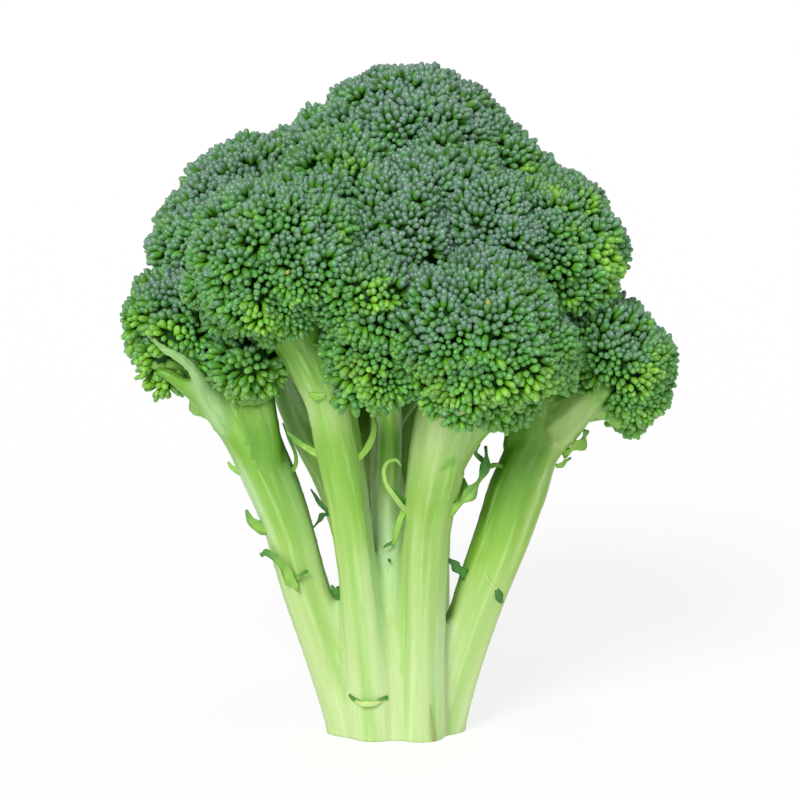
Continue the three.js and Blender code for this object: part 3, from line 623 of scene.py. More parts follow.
def drawn_out(rings, tips=()):
    """A closed skin through rings of corners, a circle drawn out from ring to ring, and which ring each corner is of.
    Its ends rise to tips, if given."""
    bm = bmesh.new()
    sides = len(rings[0])
    layers = [bmesh.ops.create_circle(bm, cap_ends=True, segments=sides, radius=1)["verts"]]
    ends = bm.faces[:]
    bmesh.ops.reverse_faces(bm, faces=ends)
    edges = bm.edges[:]
    for _ in rings[1:]:
        grown = bmesh.ops.extrude_edge_only(bm, edges=edges)["geom"]
        layers.append([item for item in grown if isinstance(item, bmesh.types.BMVert)])
        fresh = set(layers[-1])
        edges = [item for item in grown if isinstance(item, bmesh.types.BMEdge) and fresh.issuperset(item.verts)]
    ends += bmesh.ops.contextual_create(bm, geom=edges)["faces"]
    for layer, ring in zip(layers, rings):
        for vert in layer:
            turn = (math.atan2(vert.co.y, vert.co.x) - CIRCLE_START) / math.tau
            vert.co = ring[round(turn * sides) % sides]
    ring_of = {vert: number for number, layer in enumerate(layers) for vert in layer}
    for end, tip, number in zip(ends, tips, (0, len(rings) - 1)):
        peak = bmesh.ops.poke(bm, faces=[end])["verts"][0]
        peak.co, ring_of[peak] = tip, number
    bmesh.ops.recalc_face_normals(bm, faces=bm.faces[:])
    numbers = [ring_of[vert] for vert in bm.verts]
    return arrays_of(bm), numbers


def tube(path, sides):
    """A closed round tube along places and radii."""
    frames = frames_along(np.gradient(path[:, :3], axis=0), np.zeros(len(path)))
    angles = CIRCLE_START + np.arange(sides) * math.tau / sides
    circle = np.stack([np.cos(angles), np.sin(angles)], axis=1)
    rings = path[:, None, :3] + np.einsum("nij,kj->nki", frames[:, :, :2], circle) * path[:, 3, None, None]
    return drawn_out(rings)[0]


# ---- Bud heads ----

def spiral(heights, angles):
    """Unit directions at those heights and angles round the vertical."""
    out = np.sqrt(np.maximum(0, 1 - heights**2))
    return np.stack([out * np.cos(angles), out * np.sin(angles), heights], axis=1)


def lattice(radius, pitch, jitter, random):
    """Unit directions about `pitch` apart on a ball of that radius."""
    count = max(8, round(4 * math.pi * radius**2 / (CELL * pitch**2)))
    i = np.arange(count)
    ways = spiral(1 - (2 * i + 1) / count, i * GOLDEN_ANGLE)
    turn = Matrix.Rotation(random.uniform(0, math.tau), 3, Vector(random.normal(size=3)))
    return unit(ways @ np.array(turn).T + random.normal(size=(count, 3)) * jitter * pitch / radius)


def limits_of(name):
    """The planes that hold a head in, as directions and reaches from its centre, one for each neighbour."""
    centre, radius, _ = head_of(name)
    ways, reaches = [], []
    for other, (*place, size) in HEADS.items():
        gap = np.array(place) - centre
        apart = np.linalg.norm(gap)
        if other != name and apart <= radius + size + 1:
            ways.append(gap / apart)
            reaches.append((apart**2 + radius**2 - size**2) / (2 * apart))
    return np.array(ways), np.array(reaches)


def settled(name):
    """How far a head has settled from its solid."""
    return SETTLED.get(name, (0, 0, 0, 0, 0))


def clusters_of(name, shape, random):
    """The low domes that a head is made of: their centres and radii, from the head's centre."""
    centre, radius, axis = head_of(name)
    ways = lattice(radius, in_mm(shape.cluster_pitch), CLUSTER_JITTER, random)
    below = smooth_step(-(ways @ axis), *BELOW)
    sizes = in_mm(shape.cluster_radius) * random.uniform(*CLUSTER_SIZES, len(ways))
    sizes = np.minimum(sizes, radius * CLUSTER_MOST) * (1 - BELOW_SHRINK * below)
    swell = wide_noise(centre + ways * radius, SWELL_REACH, 3) * SWELL_HEIGHT
    swell += random.uniform(-SWELL_RANDOM, SWELL_RANDOM, len(ways)) - SWELL_DOWN
    swell = np.clip(swell, *SWELL_LIMITS)
    planes, reaches = limits_of(name)
    beside = (reaches - (ways * radius) @ planes.T).min(axis=1)
    swell += CREASE_DEPTH * (1 - smooth_step(beside, 0, CREASE_REACH)) * (1 - below)
    *shift, shrink, lift = settled(name)
    places = ways * (radius + shrink - sizes - BUD_ROOM + swell)[:, None] + shift
    low, high = (np.array(corner) / MM - centre for corner in SOLID_BOX)
    margin = (sizes + BUD_ROOM + BOX_ROOM)[:, None]
    places = np.clip(places, low + margin, high - margin)
    keep = places @ -axis < SEAT_DEPTH * radius - SEAT_ROOM - lift
    keep &= (places @ planes.T < reaches - NEXT_ROOM).all(axis=1)
    keep &= random.random(len(ways)) > below * BELOW_LOST
    for hollow, reach in HOLLOWS:
        keep &= np.linalg.norm(places + centre - hollow, axis=1) > reach + sizes * HOLLOW_SHARE
    extra = [(*(np.array(place) - centre), size) for head, place, size in HANGING if head == name]
    extra = np.array(extra).reshape(-1, 4)
    return np.concatenate([places[keep], extra[:, :3]]), np.append(sizes[keep], extra[:, 3])


def reach_of(ways, places, sizes, least):
    """How far a head's clusters reach along each way from its centre."""
    along = ways @ places.T
    inside = sizes**2 - (np.sum(places**2, axis=1) - along**2)
    hits = np.where(inside > 0, along + np.sqrt(np.maximum(inside, 0)), least)
    return np.maximum(hits.max(axis=1), least)


def buried(spots, places, sizes):
    """How deep each spot lies under a head's clusters, on the line from the head's centre."""
    far = np.linalg.norm(spots, axis=1)
    return reach_of(spots / np.maximum(far, 1e-6)[:, None], places, sizes, 0) - far


def plain_part(form, wood, **more):
    """Corners and triangles of flesh, which looks the same all over."""
    corners, triangles = form
    values = {key: np.full(len(corners), float(value)) for key, value in {**FLESH, "wood": wood}.items()}
    return {"corners": corners, "triangles": triangles, "values": values, **more}


def core_of(name, places, sizes):
    """The flesh that the buds stand on: a little inside them, and below it a cone down to the stem."""
    centre, radius, axis = head_of(name)
    ways, triangles = ball(4 if radius > BIG_HEAD else 3)
    ways = unit(ways)
    reach = reach_of(ways, places, np.maximum(sizes - CORE_DEPTH, 0.5), radius * CORE_LEAST)
    planes, reaches = limits_of(name)
    toward = ways @ planes.T
    within = np.where(toward > 1e-6, (reaches - 0.2) / np.maximum(toward, 1e-6), np.inf).min(axis=1)
    down = ways @ -axis
    out = np.sqrt(np.maximum(1 - down**2, 0))
    seat = SEAT_DEPTH * radius - settled(name)[-1] * smooth_step(out, 0.3, 0.7)
    reach = np.minimum(np.minimum(reach, within), seat / np.maximum(down + SEAT_SLOPE * out, 0.05))
    for hollow, size in HOLLOWS:
        gap = np.array(hollow) - centre
        along = ways @ gap
        inside = size**2 - (gap @ gap - along**2)
        entry = along - np.sqrt(np.maximum(inside, 0))
        reach = np.where((inside > 0) & (along > 0), np.minimum(reach, np.maximum(entry, 1)), reach)
    # Painted shade: the core is coloured dark green where it shows between the buds.
    core = plain_part((centre + ways * reach[:, None], triangles), CORE_WOOD, smooth=False)
    for hollow, size in HOLLOWS:
        if size > DEEP_HOLLOW:
            core["values"]["wood"][np.linalg.norm(core["corners"] - hollow, axis=1) < size * HOLLOW_EDGE] = HOLLOW_WOOD
    return core


def ribs_under(name, places):
    """The little stalks that fan out under a head, from the end of its stem to its clusters."""
    centre, radius, axis = head_of(name)
    foot = -axis * SEAT_DEPTH * radius * 1.05
    flare = SLIM_FLARES.get(name, STEM_FLARE) * radius * 0.5
    ribs = []
    for place in places:
        if place @ axis <= RIB_LIMIT * radius:
            side = place - axis * (place @ axis)
            side /= np.linalg.norm(side) + 1e-9
            start = foot + side * flare
            middle = start * 0.45 + place * 0.55 - side * radius * 0.06
            line = np.column_stack([np.array([start, middle, place]) + centre, RIB_RADII])
            ribs.append(tube(smooth_path(line, 2), 6))
    return ribs


def thinned(spots, rooms, random):
    """Which spots stay when, tried in a random order, each clears the room round it."""
    tree = kdtree.KDTree(len(spots))
    for i, spot in enumerate(spots):
        tree.insert(spot, i)
    tree.balance()
    free = np.ones(len(spots), bool)
    for i in random.permutation(len(spots)):
        if free[i]:
            for _, other, _ in tree.find_range(spots[i], rooms[i]):
                if other != i:
                    free[other] = False
    return free


def bud_places(name, clusters, shape, tubes, random):
    """Where a head's buds stand, from its centre: place, way and size of each."""
    centre, radius, axis = head_of(name)
    usual = in_mm(shape.bud_pitch)
    places, sizes = clusters[name]
    beside = [
        (np.array(HEADS[other][:3]) - centre, *rest)
        for other, rest in clusters.items()
        if other != name and math.dist(HEADS[other][:3], centre) < radius + HEADS[other][3] + 4
    ]
    spots, ways, scales = [], [], []
    for j, (place, size) in enumerate(zip(places, sizes)):
        pitch = usual * random.uniform(*PITCH_SPREAD)
        count = int(4 * math.pi * (size + CAP_RISE) ** 2 / (CELL * pitch**2) * CAP_SHARE)
        i = np.arange(count) + 0.5
        share = i / count
        local = spiral(1 - 2 * CAP_SHARE * share, i * GOLDEN_ANGLE + random.uniform(0, math.tau))
        local += random.normal(size=local.shape) * BUD_JITTER * pitch / size
        way = unit(local @ frames_along(place[None], np.zeros(1))[0].T)
        spot = place + way * size
        apart = distances(spot, places) - sizes
        apart[:, j] = 0
        keep = (apart > -SAME_OVERLAP).all(axis=1)
        for gap, others, widths in beside:
            close = np.linalg.norm(gap + others - place, axis=1) < widths + size
            keep &= (distances(spot, (gap + others)[close]) - widths[close] > -NEXT_OVERLAP).all(axis=1)
        spots.append(spot[keep])
        ways.append(way[keep])
        scales.append((pitch / usual * (TOP_SIZE + SIDE_GROWTH * np.minimum(share, 0.5)))[keep])
    spots, ways, scales = (np.concatenate(rows) for rows in (spots, ways, scales))
    keep = spots @ -axis < SEAT_DEPTH * radius + SEAT_HANG - settled(name)[-1]
    keep &= (buried(spots, places, sizes) < SAME_BURIED) | (unit(spots) @ axis < UNDERSIDE)
    for gap, others, widths in beside:
        keep &= buried(spots - gap, others, widths) < NEXT_BURIED
    world = spots + centre
    for hollow, reach in HOLLOWS:
        keep &= np.linalg.norm(world - hollow, axis=1) > reach * HOLLOW_ROOM
    keep &= random.random(len(spots)) > LOOSE_LOST * LOOSE_HEADS.get(name, 0)
    for line in tubes:
        keep &= (distances(world, line[:, :3]) - line[:, 3]).min(axis=1) > STEM_ROOM
    spots, ways, scales = spots[keep], ways[keep], scales[keep]
    free = thinned(spots, usual * BUD_CROWDING * scales, random)
    return spots[free], ways[free], scales[free]


def weighed(weights, **measures):
    """The sum of the measures, each times its weight, and of what is always added."""
    return weights["always"] + sum(weights[key] * measure for key, measure in measures.items())


def bud_values(name, world, ways, random):
    """What colours each bud: its bloom, its youth, its own tone and whether it opens."""
    count, up, height = len(world), ways[:, 2], (world[:, 2] - CROWN_FOOT) / CROWN_HEIGHT
    fine, waxy = wide_noise(world, 5.5, 17), patches(world, BLOOM_PATCHES)
    youth = weighed(YOUTH, facing_down=smooth_step(-up, -0.35, 0.75), low=smooth_step(0.42 - height, 0, 0.4),
                    wide_noise=wide_noise(world, 14, 11), fine_noise=fine, young_head=name in YOUNG_HEADS,
                    patch=patches(world, YOUNG_PATCHES, 0.35), random=random.normal(size=count))
    # Facing up: partly real bloom, partly painted sky reflection.
    bloom = weighed(BLOOM, facing_up=smooth_step(up, -0.15, 0.85), high=smooth_step(height, 0.15, 0.6),
                    wide_noise=wide_noise(world, 9, 29), fine_noise=fine, youth=np.clip(youth, 0, 1), patch=waxy,
                    random=random.normal(size=count))
    tone = weighed(TONE, wide_noise=wide_noise(world, 8, 41), patch=patches(world, TONE_PATCHES, 0.3),
                   random=random.normal(size=count))
    opening = np.zeros(count)
    for place in OPEN_BUDS:
        away = np.linalg.norm(world - place, axis=1)
        if away.min() < OPEN_REACH:
            opening[away.argmin()] = 1
    values = {"bloom": bloom, "youth": youth - BLOOM_AGE * waxy, "tone": tone, "opening": opening}
    return {key: np.clip(value, 0, 1) for key, value in values.items()}


def bud_form(outline, half, length):
    """A bud turned from its outline, how far up it each corner is, and how far on the rim of its tip."""
    form = turned([(radius * half, height * length) for radius, height in outline], 6)
    heights = form[0][:, 2] / length
    tip = np.interp(heights, [-0.5, 0.04, RIM_HEIGHT], [0.3 if outline[0][1] < -1 else 0, 0.48, 1])
    star = 0.6 + 0.4 * np.cos(3 * np.arctan2(form[0][:, 1], form[0][:, 0]))
    return form, tip, np.where(np.isclose(heights, RIM_HEIGHT, atol=1e-4), star, 0.0)


def buds_of(name, clusters, shape, tubes, random):
    """A head's buds, each leaning and rising its own way: one set of corners and triangles for each form of bud."""
    centre, radius, axis = head_of(name)
    half, length, pitch = in_mm(shape.bud_width) / 2, in_mm(shape.bud_length), in_mm(shape.tuft_pitch)
    spots, ways, scales = bud_places(name, clusters, shape, tubes, random)
    world, count = spots + centre, len(spots)
    tufts = lattice(radius, pitch, 0.3, random)
    far = np.linalg.norm(spots, axis=1, keepdims=True)
    fan = (spots - tufts[(spots / far @ tufts.T).argmax(axis=1)] * far) / (pitch * TUFT_FAN)
    off = np.minimum(np.linalg.norm(fan, axis=1), TUFT_EDGE)
    leans = (ways, spots / radius, fan, random.normal(size=spots.shape))
    lean = sum(way * weight for way, weight in zip(leans, LEAN_WEIGHTS))
    frames = frames_along(lean, random.uniform(0, math.tau, count))
    low_rim = smooth_step(-(spots @ axis) / radius, -0.35, 0.45) * smooth_step(-ways[:, 2], -0.5, 0.5)
    swell = scales * np.exp(random.normal(size=count) * SIZE_SPREAD) * (MIDDLE_SIZE + EDGE_GROWTH * off)
    swell *= 1 - RIM_SHRINK * low_rim
    length_share = random.uniform(*LENGTH_SPREAD, count) * (1 - RIM_SHORTENING * low_rim)
    grown = np.stack([swell, swell, swell * length_share], axis=1)
    rise = random.uniform(*RISE_RANDOM, count) + RISE_RIM * low_rim + RISE_WAVE * wide_noise(world, 4.5, 23)
    rise += RISE_MIDDLE - RISE_FALL * off**2
    drooping = random.random(count) < LOOSE_HEADS.get(name, 0) * smooth_step(-ways[:, 2], -0.6, 0.2)
    rise += drooping * random.uniform(*DROOP, count)
    lifted = world + frames[:, :, 2] * rise[:, None]
    tips = lifted + frames[:, :, 2] * length * 0.45
    low, high = (np.array(corner) / MM for corner in SOLID_BOX)
    lifted += np.clip(tips, low + half + 0.2, high - half * 0.8) - tips
    values = bud_values(name, world, ways, random)
    stalked = random.random(count) < low_rim * STALKED_RIM + (STALKED_YOUNG if name in YOUNG_HEADS else 0)
    stalked &= ~drooping
    parts = []
    for outline, chosen in zip(BUD_OUTLINES, (~stalked & ~drooping, stalked, drooping)):
        form, tip, ring = bud_form(outline, half, length)
        corners, triangles, owner = copies(form, lifted[chosen], frames[chosen], grown[chosen])
        each = {key: value[chosen][owner] for key, value in values.items()}
        each.update(tip=np.tile(tip, chosen.sum()), ring=np.tile(ring, chosen.sum()), wood=np.zeros(len(corners)))
        parts.append({"corners": corners, "triangles": triangles, "values": each})
    return parts


def length_property(name, description, millimetres, least=0):
    """A length that a user may change, kept in metres."""
    return FloatProperty(name=name, description=description, default=millimetres * MM, min=least * MM,
                         precision=4, subtype="DISTANCE", unit="LENGTH")


def colour_property(name, description, *default):
    """A colour that a user may change."""
    return FloatVectorProperty(name=name, description=description, default=default, min=0, max=1, subtype="COLOR")


class BuddingSettings(bpy.types.PropertyGroup):
    """Sizes and colours of the buds and of the clusters they stand in."""

    bud_pitch: length_property("Bud Pitch", "Distance between two buds", 2.2, 1.4)
    bud_width: length_property("Bud Width", "Width of a bud", 2.2, 1)
    bud_length: length_property("Bud Length", "Length of a bud", 5.6, 1)
    tuft_pitch: length_property("Tuft Pitch", "Distance between two tufts of buds", 7, 3)
    cluster_pitch: length_property("Cluster Pitch", "Distance between two clusters", 9.6, 5)
    cluster_radius: length_property("Cluster Radius", "Radius of a cluster's dome", 5.9, 3)
    seed: IntProperty(name="Seed", description="Start of the random draws", default=7, min=0)
    # Painted shade: this dark green is laid on the lower part of every bud, down between the buds, where shade falls.
    painted_shade_green: colour_property("Deep Green", "Colour down between the buds", 0.007, 0.135, 0.003)
    side_green: colour_property("Side Green", "Colour of a bud's side", 0.068, 0.285, 0.028)
    # The bloom colour is the waxy bloom, and on upward-facing tips partly painted sky reflection.
    bloom_and_sheen_green: colour_property("Bloom Green", "Colour of the waxy bloom on the tips", 0.138, 0.238, 0.192)
    young_green: colour_property("Young Green", "Colour of the youngest buds and their stalks", 0.2, 0.47, 0.026)


class GrowBudHeads(bpy.types.Operator):
    """Replace every solid bud head with clusters of fine buds on little stalks"""

    bl_idname = "broccoli.grow_bud_heads"
    bl_label = "Bud Heads"

    def execute(self, context):
        shape = context.scene.broccoli_budding
        finish = bud_finish(shape)
        tubes = all_tubes()
        draws = {name: np.random.default_rng(shape.seed + number) for number, name in enumerate(HEADS)}
        clusters = {name: clusters_of(name, shape, random) for name, random in draws.items()}
        for name, random in draws.items():
            parts = buds_of(name, clusters, shape, tubes, random)
            parts.append(core_of(name, *clusters[name]))
            parts += [plain_part(rib, RIB_WOOD) for rib in ribs_under(name, clusters[name][0])]
            piece = link("buds_" + name, mesh_from_arrays("buds_" + name, parts))
            piece.data.materials.append(finish)
            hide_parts("head_" + name)
            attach(piece, "root")
        return {"FINISHED"}


# ---- The stalk ----

class StalkSettings(bpy.types.PropertyGroup):
    """Fineness and colours of the stalk."""

    grain: length_property("Grain", "Size of the stalk's mesh", 1.4, 0.5)
    rib_height: length_property("Rib Height", "Height of the ribs along the branches", 0.34)
    foot_green: colour_property("Foot Green", "Colour near the cut", 0.52, 0.665, 0.29)
    mid_green: colour_property("Middle Green", "Colour of the branches", 0.27, 0.485, 0.055)
    # Partly the greener top of the stalk, partly painted shade under the crown.
    crown_green_and_shade: colour_property("Crown Green", "Colour under the crown", 0.112, 0.315, 0.016)
    leaf_green: colour_property("Leaf Green", "Colour of the leaflets", 0.055, 0.225, 0.03)


def skin_over(context, tubes, grain):
    """A piece with one even skin over all the tubes, cut flat at the foot."""
    wires = bpy.data.curves.new("stalk_lines", "CURVE")
    wires.dimensions = "3D"
    wires.bevel_depth = 1
    wires.bevel_resolution = 3
    wires.use_fill_caps = True
    for line in tubes:
        spline = wires.splines.new("POLY")
        spline.points.add(len(line) - 1)
        spline.points.foreach_set("co", np.column_stack([line[:, :3] * MM, np.ones(len(line))]).ravel())
        spline.points.foreach_set("radius", line[:, 3] * MM)
    lines = link("stalk_lines", wires)
    rough = bpy.data.meshes.new_from_object(lines.evaluated_get(context.evaluated_depsgraph_get()))
    bpy.data.objects.remove(lines)
    piece = link("stalk_skin", rough)
    skin = piece.modifiers.new("Skin", "REMESH")
    skin.mode = "VOXEL"
    skin.voxel_size = grain
    even = piece.modifiers.new("Even", "SMOOTH")
    even.factor = 0.5
    even.iterations = 7
    mesh = bpy.data.meshes.new_from_object(piece.evaluated_get(context.evaluated_depsgraph_get()))
    piece.modifiers.clear()
    piece.data = mesh
    mesh.name = "stalk_skin"
    bm = bmesh.new()
    bm.from_mesh(mesh)
    cut = bmesh.ops.bisect_plane(bm, geom=bm.verts[:] + bm.edges[:] + bm.faces[:], plane_co=(0, 0, 0),
                                 plane_no=(0, 0, 1), clear_inner=True)["geom_cut"]
    rim = [item for item in cut if isinstance(item, bmesh.types.BMEdge)]
    bmesh.ops.triangle_fill(bm, use_beauty=True, use_dissolve=False, edges=rim, normal=(0, 0, -1))
    bmesh.ops.recalc_face_normals(bm, faces=bm.faces[:])
    for face in bm.faces:
        face.smooth = abs(face.normal.z) < 0.9 or face.calc_center_median().z > 0.5 * MM
    bm.to_mesh(mesh)
    bm.free()
    return piece


def nearest_tube(points, tubes):
    """For each point: across, over and along on the stem whose skin is nearest, that stem's number and radius."""
    best = np.full(len(points), np.inf)
    found = np.zeros((len(points), 5))
    for number, line in enumerate(tubes):
        ways = unit(np.gradient(line[:, :3], axis=0))
        across = unit(np.cross(ways, [0, 1.0, 0]))
        over = np.cross(ways, across)
        lengths = np.append(0, np.cumsum(np.linalg.norm(np.diff(line[:, :3], axis=0), axis=1)))
        for start in range(0, len(points), POINTS_AT_ONCE):
            block = slice(start, start + POINTS_AT_ONCE)
            gaps = points[block, None] - line[None, :, :3]
            apart = np.linalg.norm(gaps, axis=2)
            spot = apart.argmin(axis=1)
            rows = np.arange(len(spot))
            gap = gaps[rows, spot]
            skin = apart[rows, spot] - line[spot, 3]
            better = skin < best[block]
            values = np.stack([
                np.sum(gap * across[spot], axis=1), np.sum(gap * over[spot], axis=1),
                lengths[spot] + np.sum(gap * ways[spot], axis=1), np.full(len(spot), number), line[spot, 3],
            ], axis=1)
            found[block][better] = values[better]
            best[block][better] = skin[better]
    return found.T


def spread(values, edges, rounds):
    """Values at the corners, evened out along the edges."""
    count = np.bincount(edges.ravel(), minlength=len(values))
    for _ in range(rounds):
        total = np.bincount(edges[:, 0], values[edges[:, 1]], len(values))
        total += np.bincount(edges[:, 1], values[edges[:, 0]], len(values))
        values = 0.5 * values + 0.5 * total / np.maximum(count, 1)
    return values


def ramps(rows, measures):
    """The summed strength, at each point, of rows of a branch, a strength, and the measures it comes in over."""
    total = 0
    for branch, strength, *steps in rows:
        share = measures[branch] * strength
        for measure, low, high in steps:
            share = share * smooth_step(measures[measure], low, high)
        total = total + share
    return total


class GrowStalk(bpy.types.Operator):
    """Replace the solid stalk with one smooth, ribbed skin over all its branches and stems"""

    bl_idname = "broccoli.grow_stalk"
    bl_label = "Stalk"

    def execute(self, context):
        shape = context.scene.broccoli_stalk
        tubes = all_tubes()
        piece = skin_over(context, tubes, shape.grain)
        mesh = piece.data
        points, normals = read(mesh.vertices, "co", 3).astype(float) / MM, read(mesh.vertices, "normal", 3)
        edges, high = read(mesh.edges, "vertices", 2, np.int32), points[:, 2]
        across, over, along, number, radius = nearest_tube(points, tubes)
        angle, phase = np.arctan2(over, across), number * 1.7 + along * 0.012
        rib = sum(height * np.cos(count * angle + drift * phase) for count, drift, height in RIB_WAVES)
        share = smooth_step(high, 0.05, 3) * np.where(number == 0, 0, np.minimum(radius / 6, 1) ** 2)
        moved = points + normals * (rib * in_mm(shape.rib_height) * share)[:, None]
        moved[:, 2] = np.where(high < 0.02, 0, np.maximum(moved[:, 2], 0.05))
        mesh.vertices.foreach_set("co", (moved * MM).astype(np.float32).ravel())
        measures = {branch: number == i for i, branch in enumerate(BRANCH_GREENS)}
        green = np.select(list(measures.values()), list(BRANCH_GREENS.values()), STEM_GREEN)
        measures.update(high=high, facing=normals[:, 0], across=across)
        # Painted shade on the inward-facing sides, then the greener streaks.
        inner = ramps(INWARD_SHADES, measures)
        for branch, middle, width, low, top, strength in STREAKS:
            fade = smooth_step(high, low - STREAK_FADE, low + STREAK_FADE)
            fade *= smooth_step(high, top + STREAK_FADE, top - STREAK_FADE)
            inner += measures[branch] * np.exp(-((across - middle) / width) ** 2) * fade * strength
        deep = spread(green + ramps(ALONG_GREENS, measures), edges, GREEN_ROUNDS) + spread(inner, edges, INNER_ROUNDS)
        # Painted shade and painted light over stretches of the stalk, added to how green it is.
        deep += spread(patches(points, SHADES), edges, SHADE_ROUNDS)
        branchlets = len(tubes) - len(BRANCHLETS)
        wax = ((number >= branchlets - len(WEBS)) & (high < WEB_TOP)) * WEB_WAX + (number == branchlets) * BRANCHLET_WAX
        wax = spread(np.clip(wax + ramps(SIDE_WAX, measures) + patches(points, WAXY), 0, 1), edges, WAX_ROUNDS)
        keep_values(mesh, "grain", np.stack([across, over + number * 40, along * 0.05], axis=1))
        keep_values(mesh, "rib", rib)
        # How deep a green: the branch's own green and streaks, with painted shade and painted light added.
        keep_values(mesh, "deep", deep)
        keep_values(mesh, "wax", wax - STAIN_STRENGTH * patches(points, STAINS, 0.3))
        mesh.update()
        mesh.materials.clear()
        mesh.materials.append(stalk_finish(shape))
        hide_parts("stalk")
        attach(piece, "root")
        return {"FINISHED"}


def leaflet_path(branch, height, bearing, length, width, lean, curl, turn):
    """A leaflet's places and widths, rising and curling out from a branch's skin."""
    line = smooth_path(path_to_seat(BRANCHES[branch][0]), 12)
    row = np.abs(line[:, 2] - height).argmin()
    along = unit(np.gradient(line[:, :3], axis=0))[row]
    out = np.array([math.cos(math.radians(bearing)), math.sin(math.radians(bearing)), 0])
    out -= along * (out @ along)
    out /= np.linalg.norm(out)
    spot = line[row, :3] + out * line[row, 3] * 0.72
    side = np.cross(along, out) * math.sin(math.radians(turn))
    path = []
    for share in (0, 0.25, 0.5, 0.75, 1):
        path.append((*spot, width * (0.5 + 1.4 * share * (1.2 - share) if share < 1 else 0.2)))
        angle = math.radians(lean + curl * share)
        spot = spot + (out * math.cos(angle) + along * math.sin(angle) + side * 0.4) * length / 4
    return path


def ribbon(path, twist, lobed, root, tip, cup, random):
    """A thin closed blade along a path, with a lobed edge, and how dark it is at each corner."""
    line = smooth_path(path, 4)
    shares = np.linspace(0, 1, len(line))
    ways = unit(np.gradient(line[:, :3], axis=0))
    outward = line[:, :3] * (0.3, 0.3, 0) + (0, -14, 0) if line[0, 1] < 0 else line[:, :3] * (1, 1, 0)
    edges = unit(np.cross(ways, outward))
    flats = np.cross(edges, ways)
    spin = np.radians(twist) * shares[:, None]
    edges, flats = edges * np.cos(spin) + flats * np.sin(spin), flats * np.cos(spin) - edges * np.sin(spin)
    phases = np.where(BLADE_ACROSS > 0, *random.uniform(0, math.tau, 2))
    waves = np.sin(shares[:, None] * 3.2 * len(path) + phases)
    widths = line[:, 3:]
    half = widths / 2 * (1 + lobed * waves * np.abs(BLADE_ACROSS)) * BLADE_ACROSS
    rise = widths * (cup * BLADE_ACROSS**2 + 0.5 * lobed * BLADE_ACROSS * np.abs(BLADE_ACROSS) * waves)
    rise += np.minimum(BLADE_THICKNESS, widths * 0.3) * BLADE_OVER
    rings = line[:, None, :3] + edges[:, None] * half[:, :, None] + flats[:, None] * rise[:, :, None]
    (corners, triangles), numbers = drawn_out(rings, line[[0, -1], :3])
    dark = root + (tip - root) * shares**1.5
    return {"corners": corners, "triangles": triangles, "values": {"dark": dark[numbers]}}


class GrowLeaflets(bpy.types.Operator):
    """Grow the small frilled leaflets on the branches"""

    bl_idname = "broccoli.grow_leaflets"
    bl_label = "Leaflets"

    def execute(self, context):
        shape = context.scene.broccoli_stalk
        random = np.random.default_rng(LEAFLET_SEED)
        blades = [*RIBBONS, *((leaflet_path(*leaf), *LEAFLET_LOOK) for leaf in LEAFLETS)]
        piece = link("leaflets", mesh_from_arrays("leaflets", [ribbon(*blade, random) for blade in blades]))
        piece.data.materials.append(leaf_finish(shape))
        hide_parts("stalk")
        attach(piece, "root")
        return {"FINISHED"}


# ---- Finishes ----

class Wire:
    """A socket's value, which Python's operators turn into Math nodes."""

    def __init__(self, finish, socket):
        self.finish, self.socket = finish, socket

    def math(self, operation, first, second):
        """A Math node on two values."""
        return self.finish.node("ShaderNodeMath", 0, {"operation": operation}, {0: first, 1: second})

    def __add__(self, other):
        return self.math("ADD", self, other)

    def __radd__(self, other):
        return self.math("ADD", other, self)

    def __sub__(self, other):
        return self.math("SUBTRACT", self, other)

    def __rsub__(self, other):
        return self.math("SUBTRACT", other, self)

    def __mul__(self, other):
        return self.math("MULTIPLY", self, other)

    def __rmul__(self, other):
        return self.math("MULTIPLY", other, self)

    def clamped(self):
        """The value, held between 0 and 1."""
        return self.math("MINIMUM", self.math("MAXIMUM", self, 0.0), 1.0)

    def step(self, low, high):
        """0 below low, 1 above high, and a smooth rise between."""
        return self.finish.node("ShaderNodeMapRange", 0, {"interpolation_type": "SMOOTHSTEP"},
                                {0: self, 1: low, 2: high, 3: 0.0, 4: 1.0})


class Finish:
    """A material under construction."""

    def __init__(self, name):
        self.material = bpy.data.materials.new(name)
        self.material.use_nodes = True
        self.tree = self.material.node_tree
        self.tree.nodes.clear()

    def node(self, kind, output=0, settings=None, values=None):
        """A new node with its settings, then its sockets' values or links. Gives the wire out of one of its outputs."""
        node = self.tree.nodes.new(kind)
        for key, value in (settings or {}).items():
            setattr(node, key, value)
        for key, value in (values or {}).items():
            slot = node.inputs[key]
            if isinstance(value, Wire):
                self.tree.links.new(value.socket, slot)
            else:
                slot.default_value = (*value, 1) if slot.type == "RGBA" else value
        return Wire(self, node.outputs[output]) if node.outputs else None

    def value(self, name):
        """A value kept at the mesh's corners."""
        return self.node("ShaderNodeAttribute", "Fac", {"attribute_name": name})

    def place(self):
        """Object coordinates."""
        return self.node("ShaderNodeTexCoord", "Object")

    def noise(self, place, scale, detail=2.0):
        """Soft noise around one half."""
        return self.node("ShaderNodeTexNoise", "Fac", values={"Vector": place, "Scale": scale, "Detail": detail})

    def mix(self, factor, below, above, mode="MIX"):
        """One colour over another."""
        return self.node("ShaderNodeMix", 2, {"data_type": "RGBA", "blend_type": mode}, {0: factor, 6: below, 7: above})

    def bump(self, height, strength, distance):
        """A surface raised by a height."""
        values = {"Height": height, "Strength": strength, "Distance": distance}
        return self.node("ShaderNodeBump", "Normal", values=values)

    def done(self, **values):
        """The material, with a surface of those values."""
        surface = self.node("ShaderNodeBsdfPrincipled", values={SOCKETS[key]: value for key, value in values.items()})
        self.node("ShaderNodeOutputMaterial", values={"Surface": surface})
        return self.material


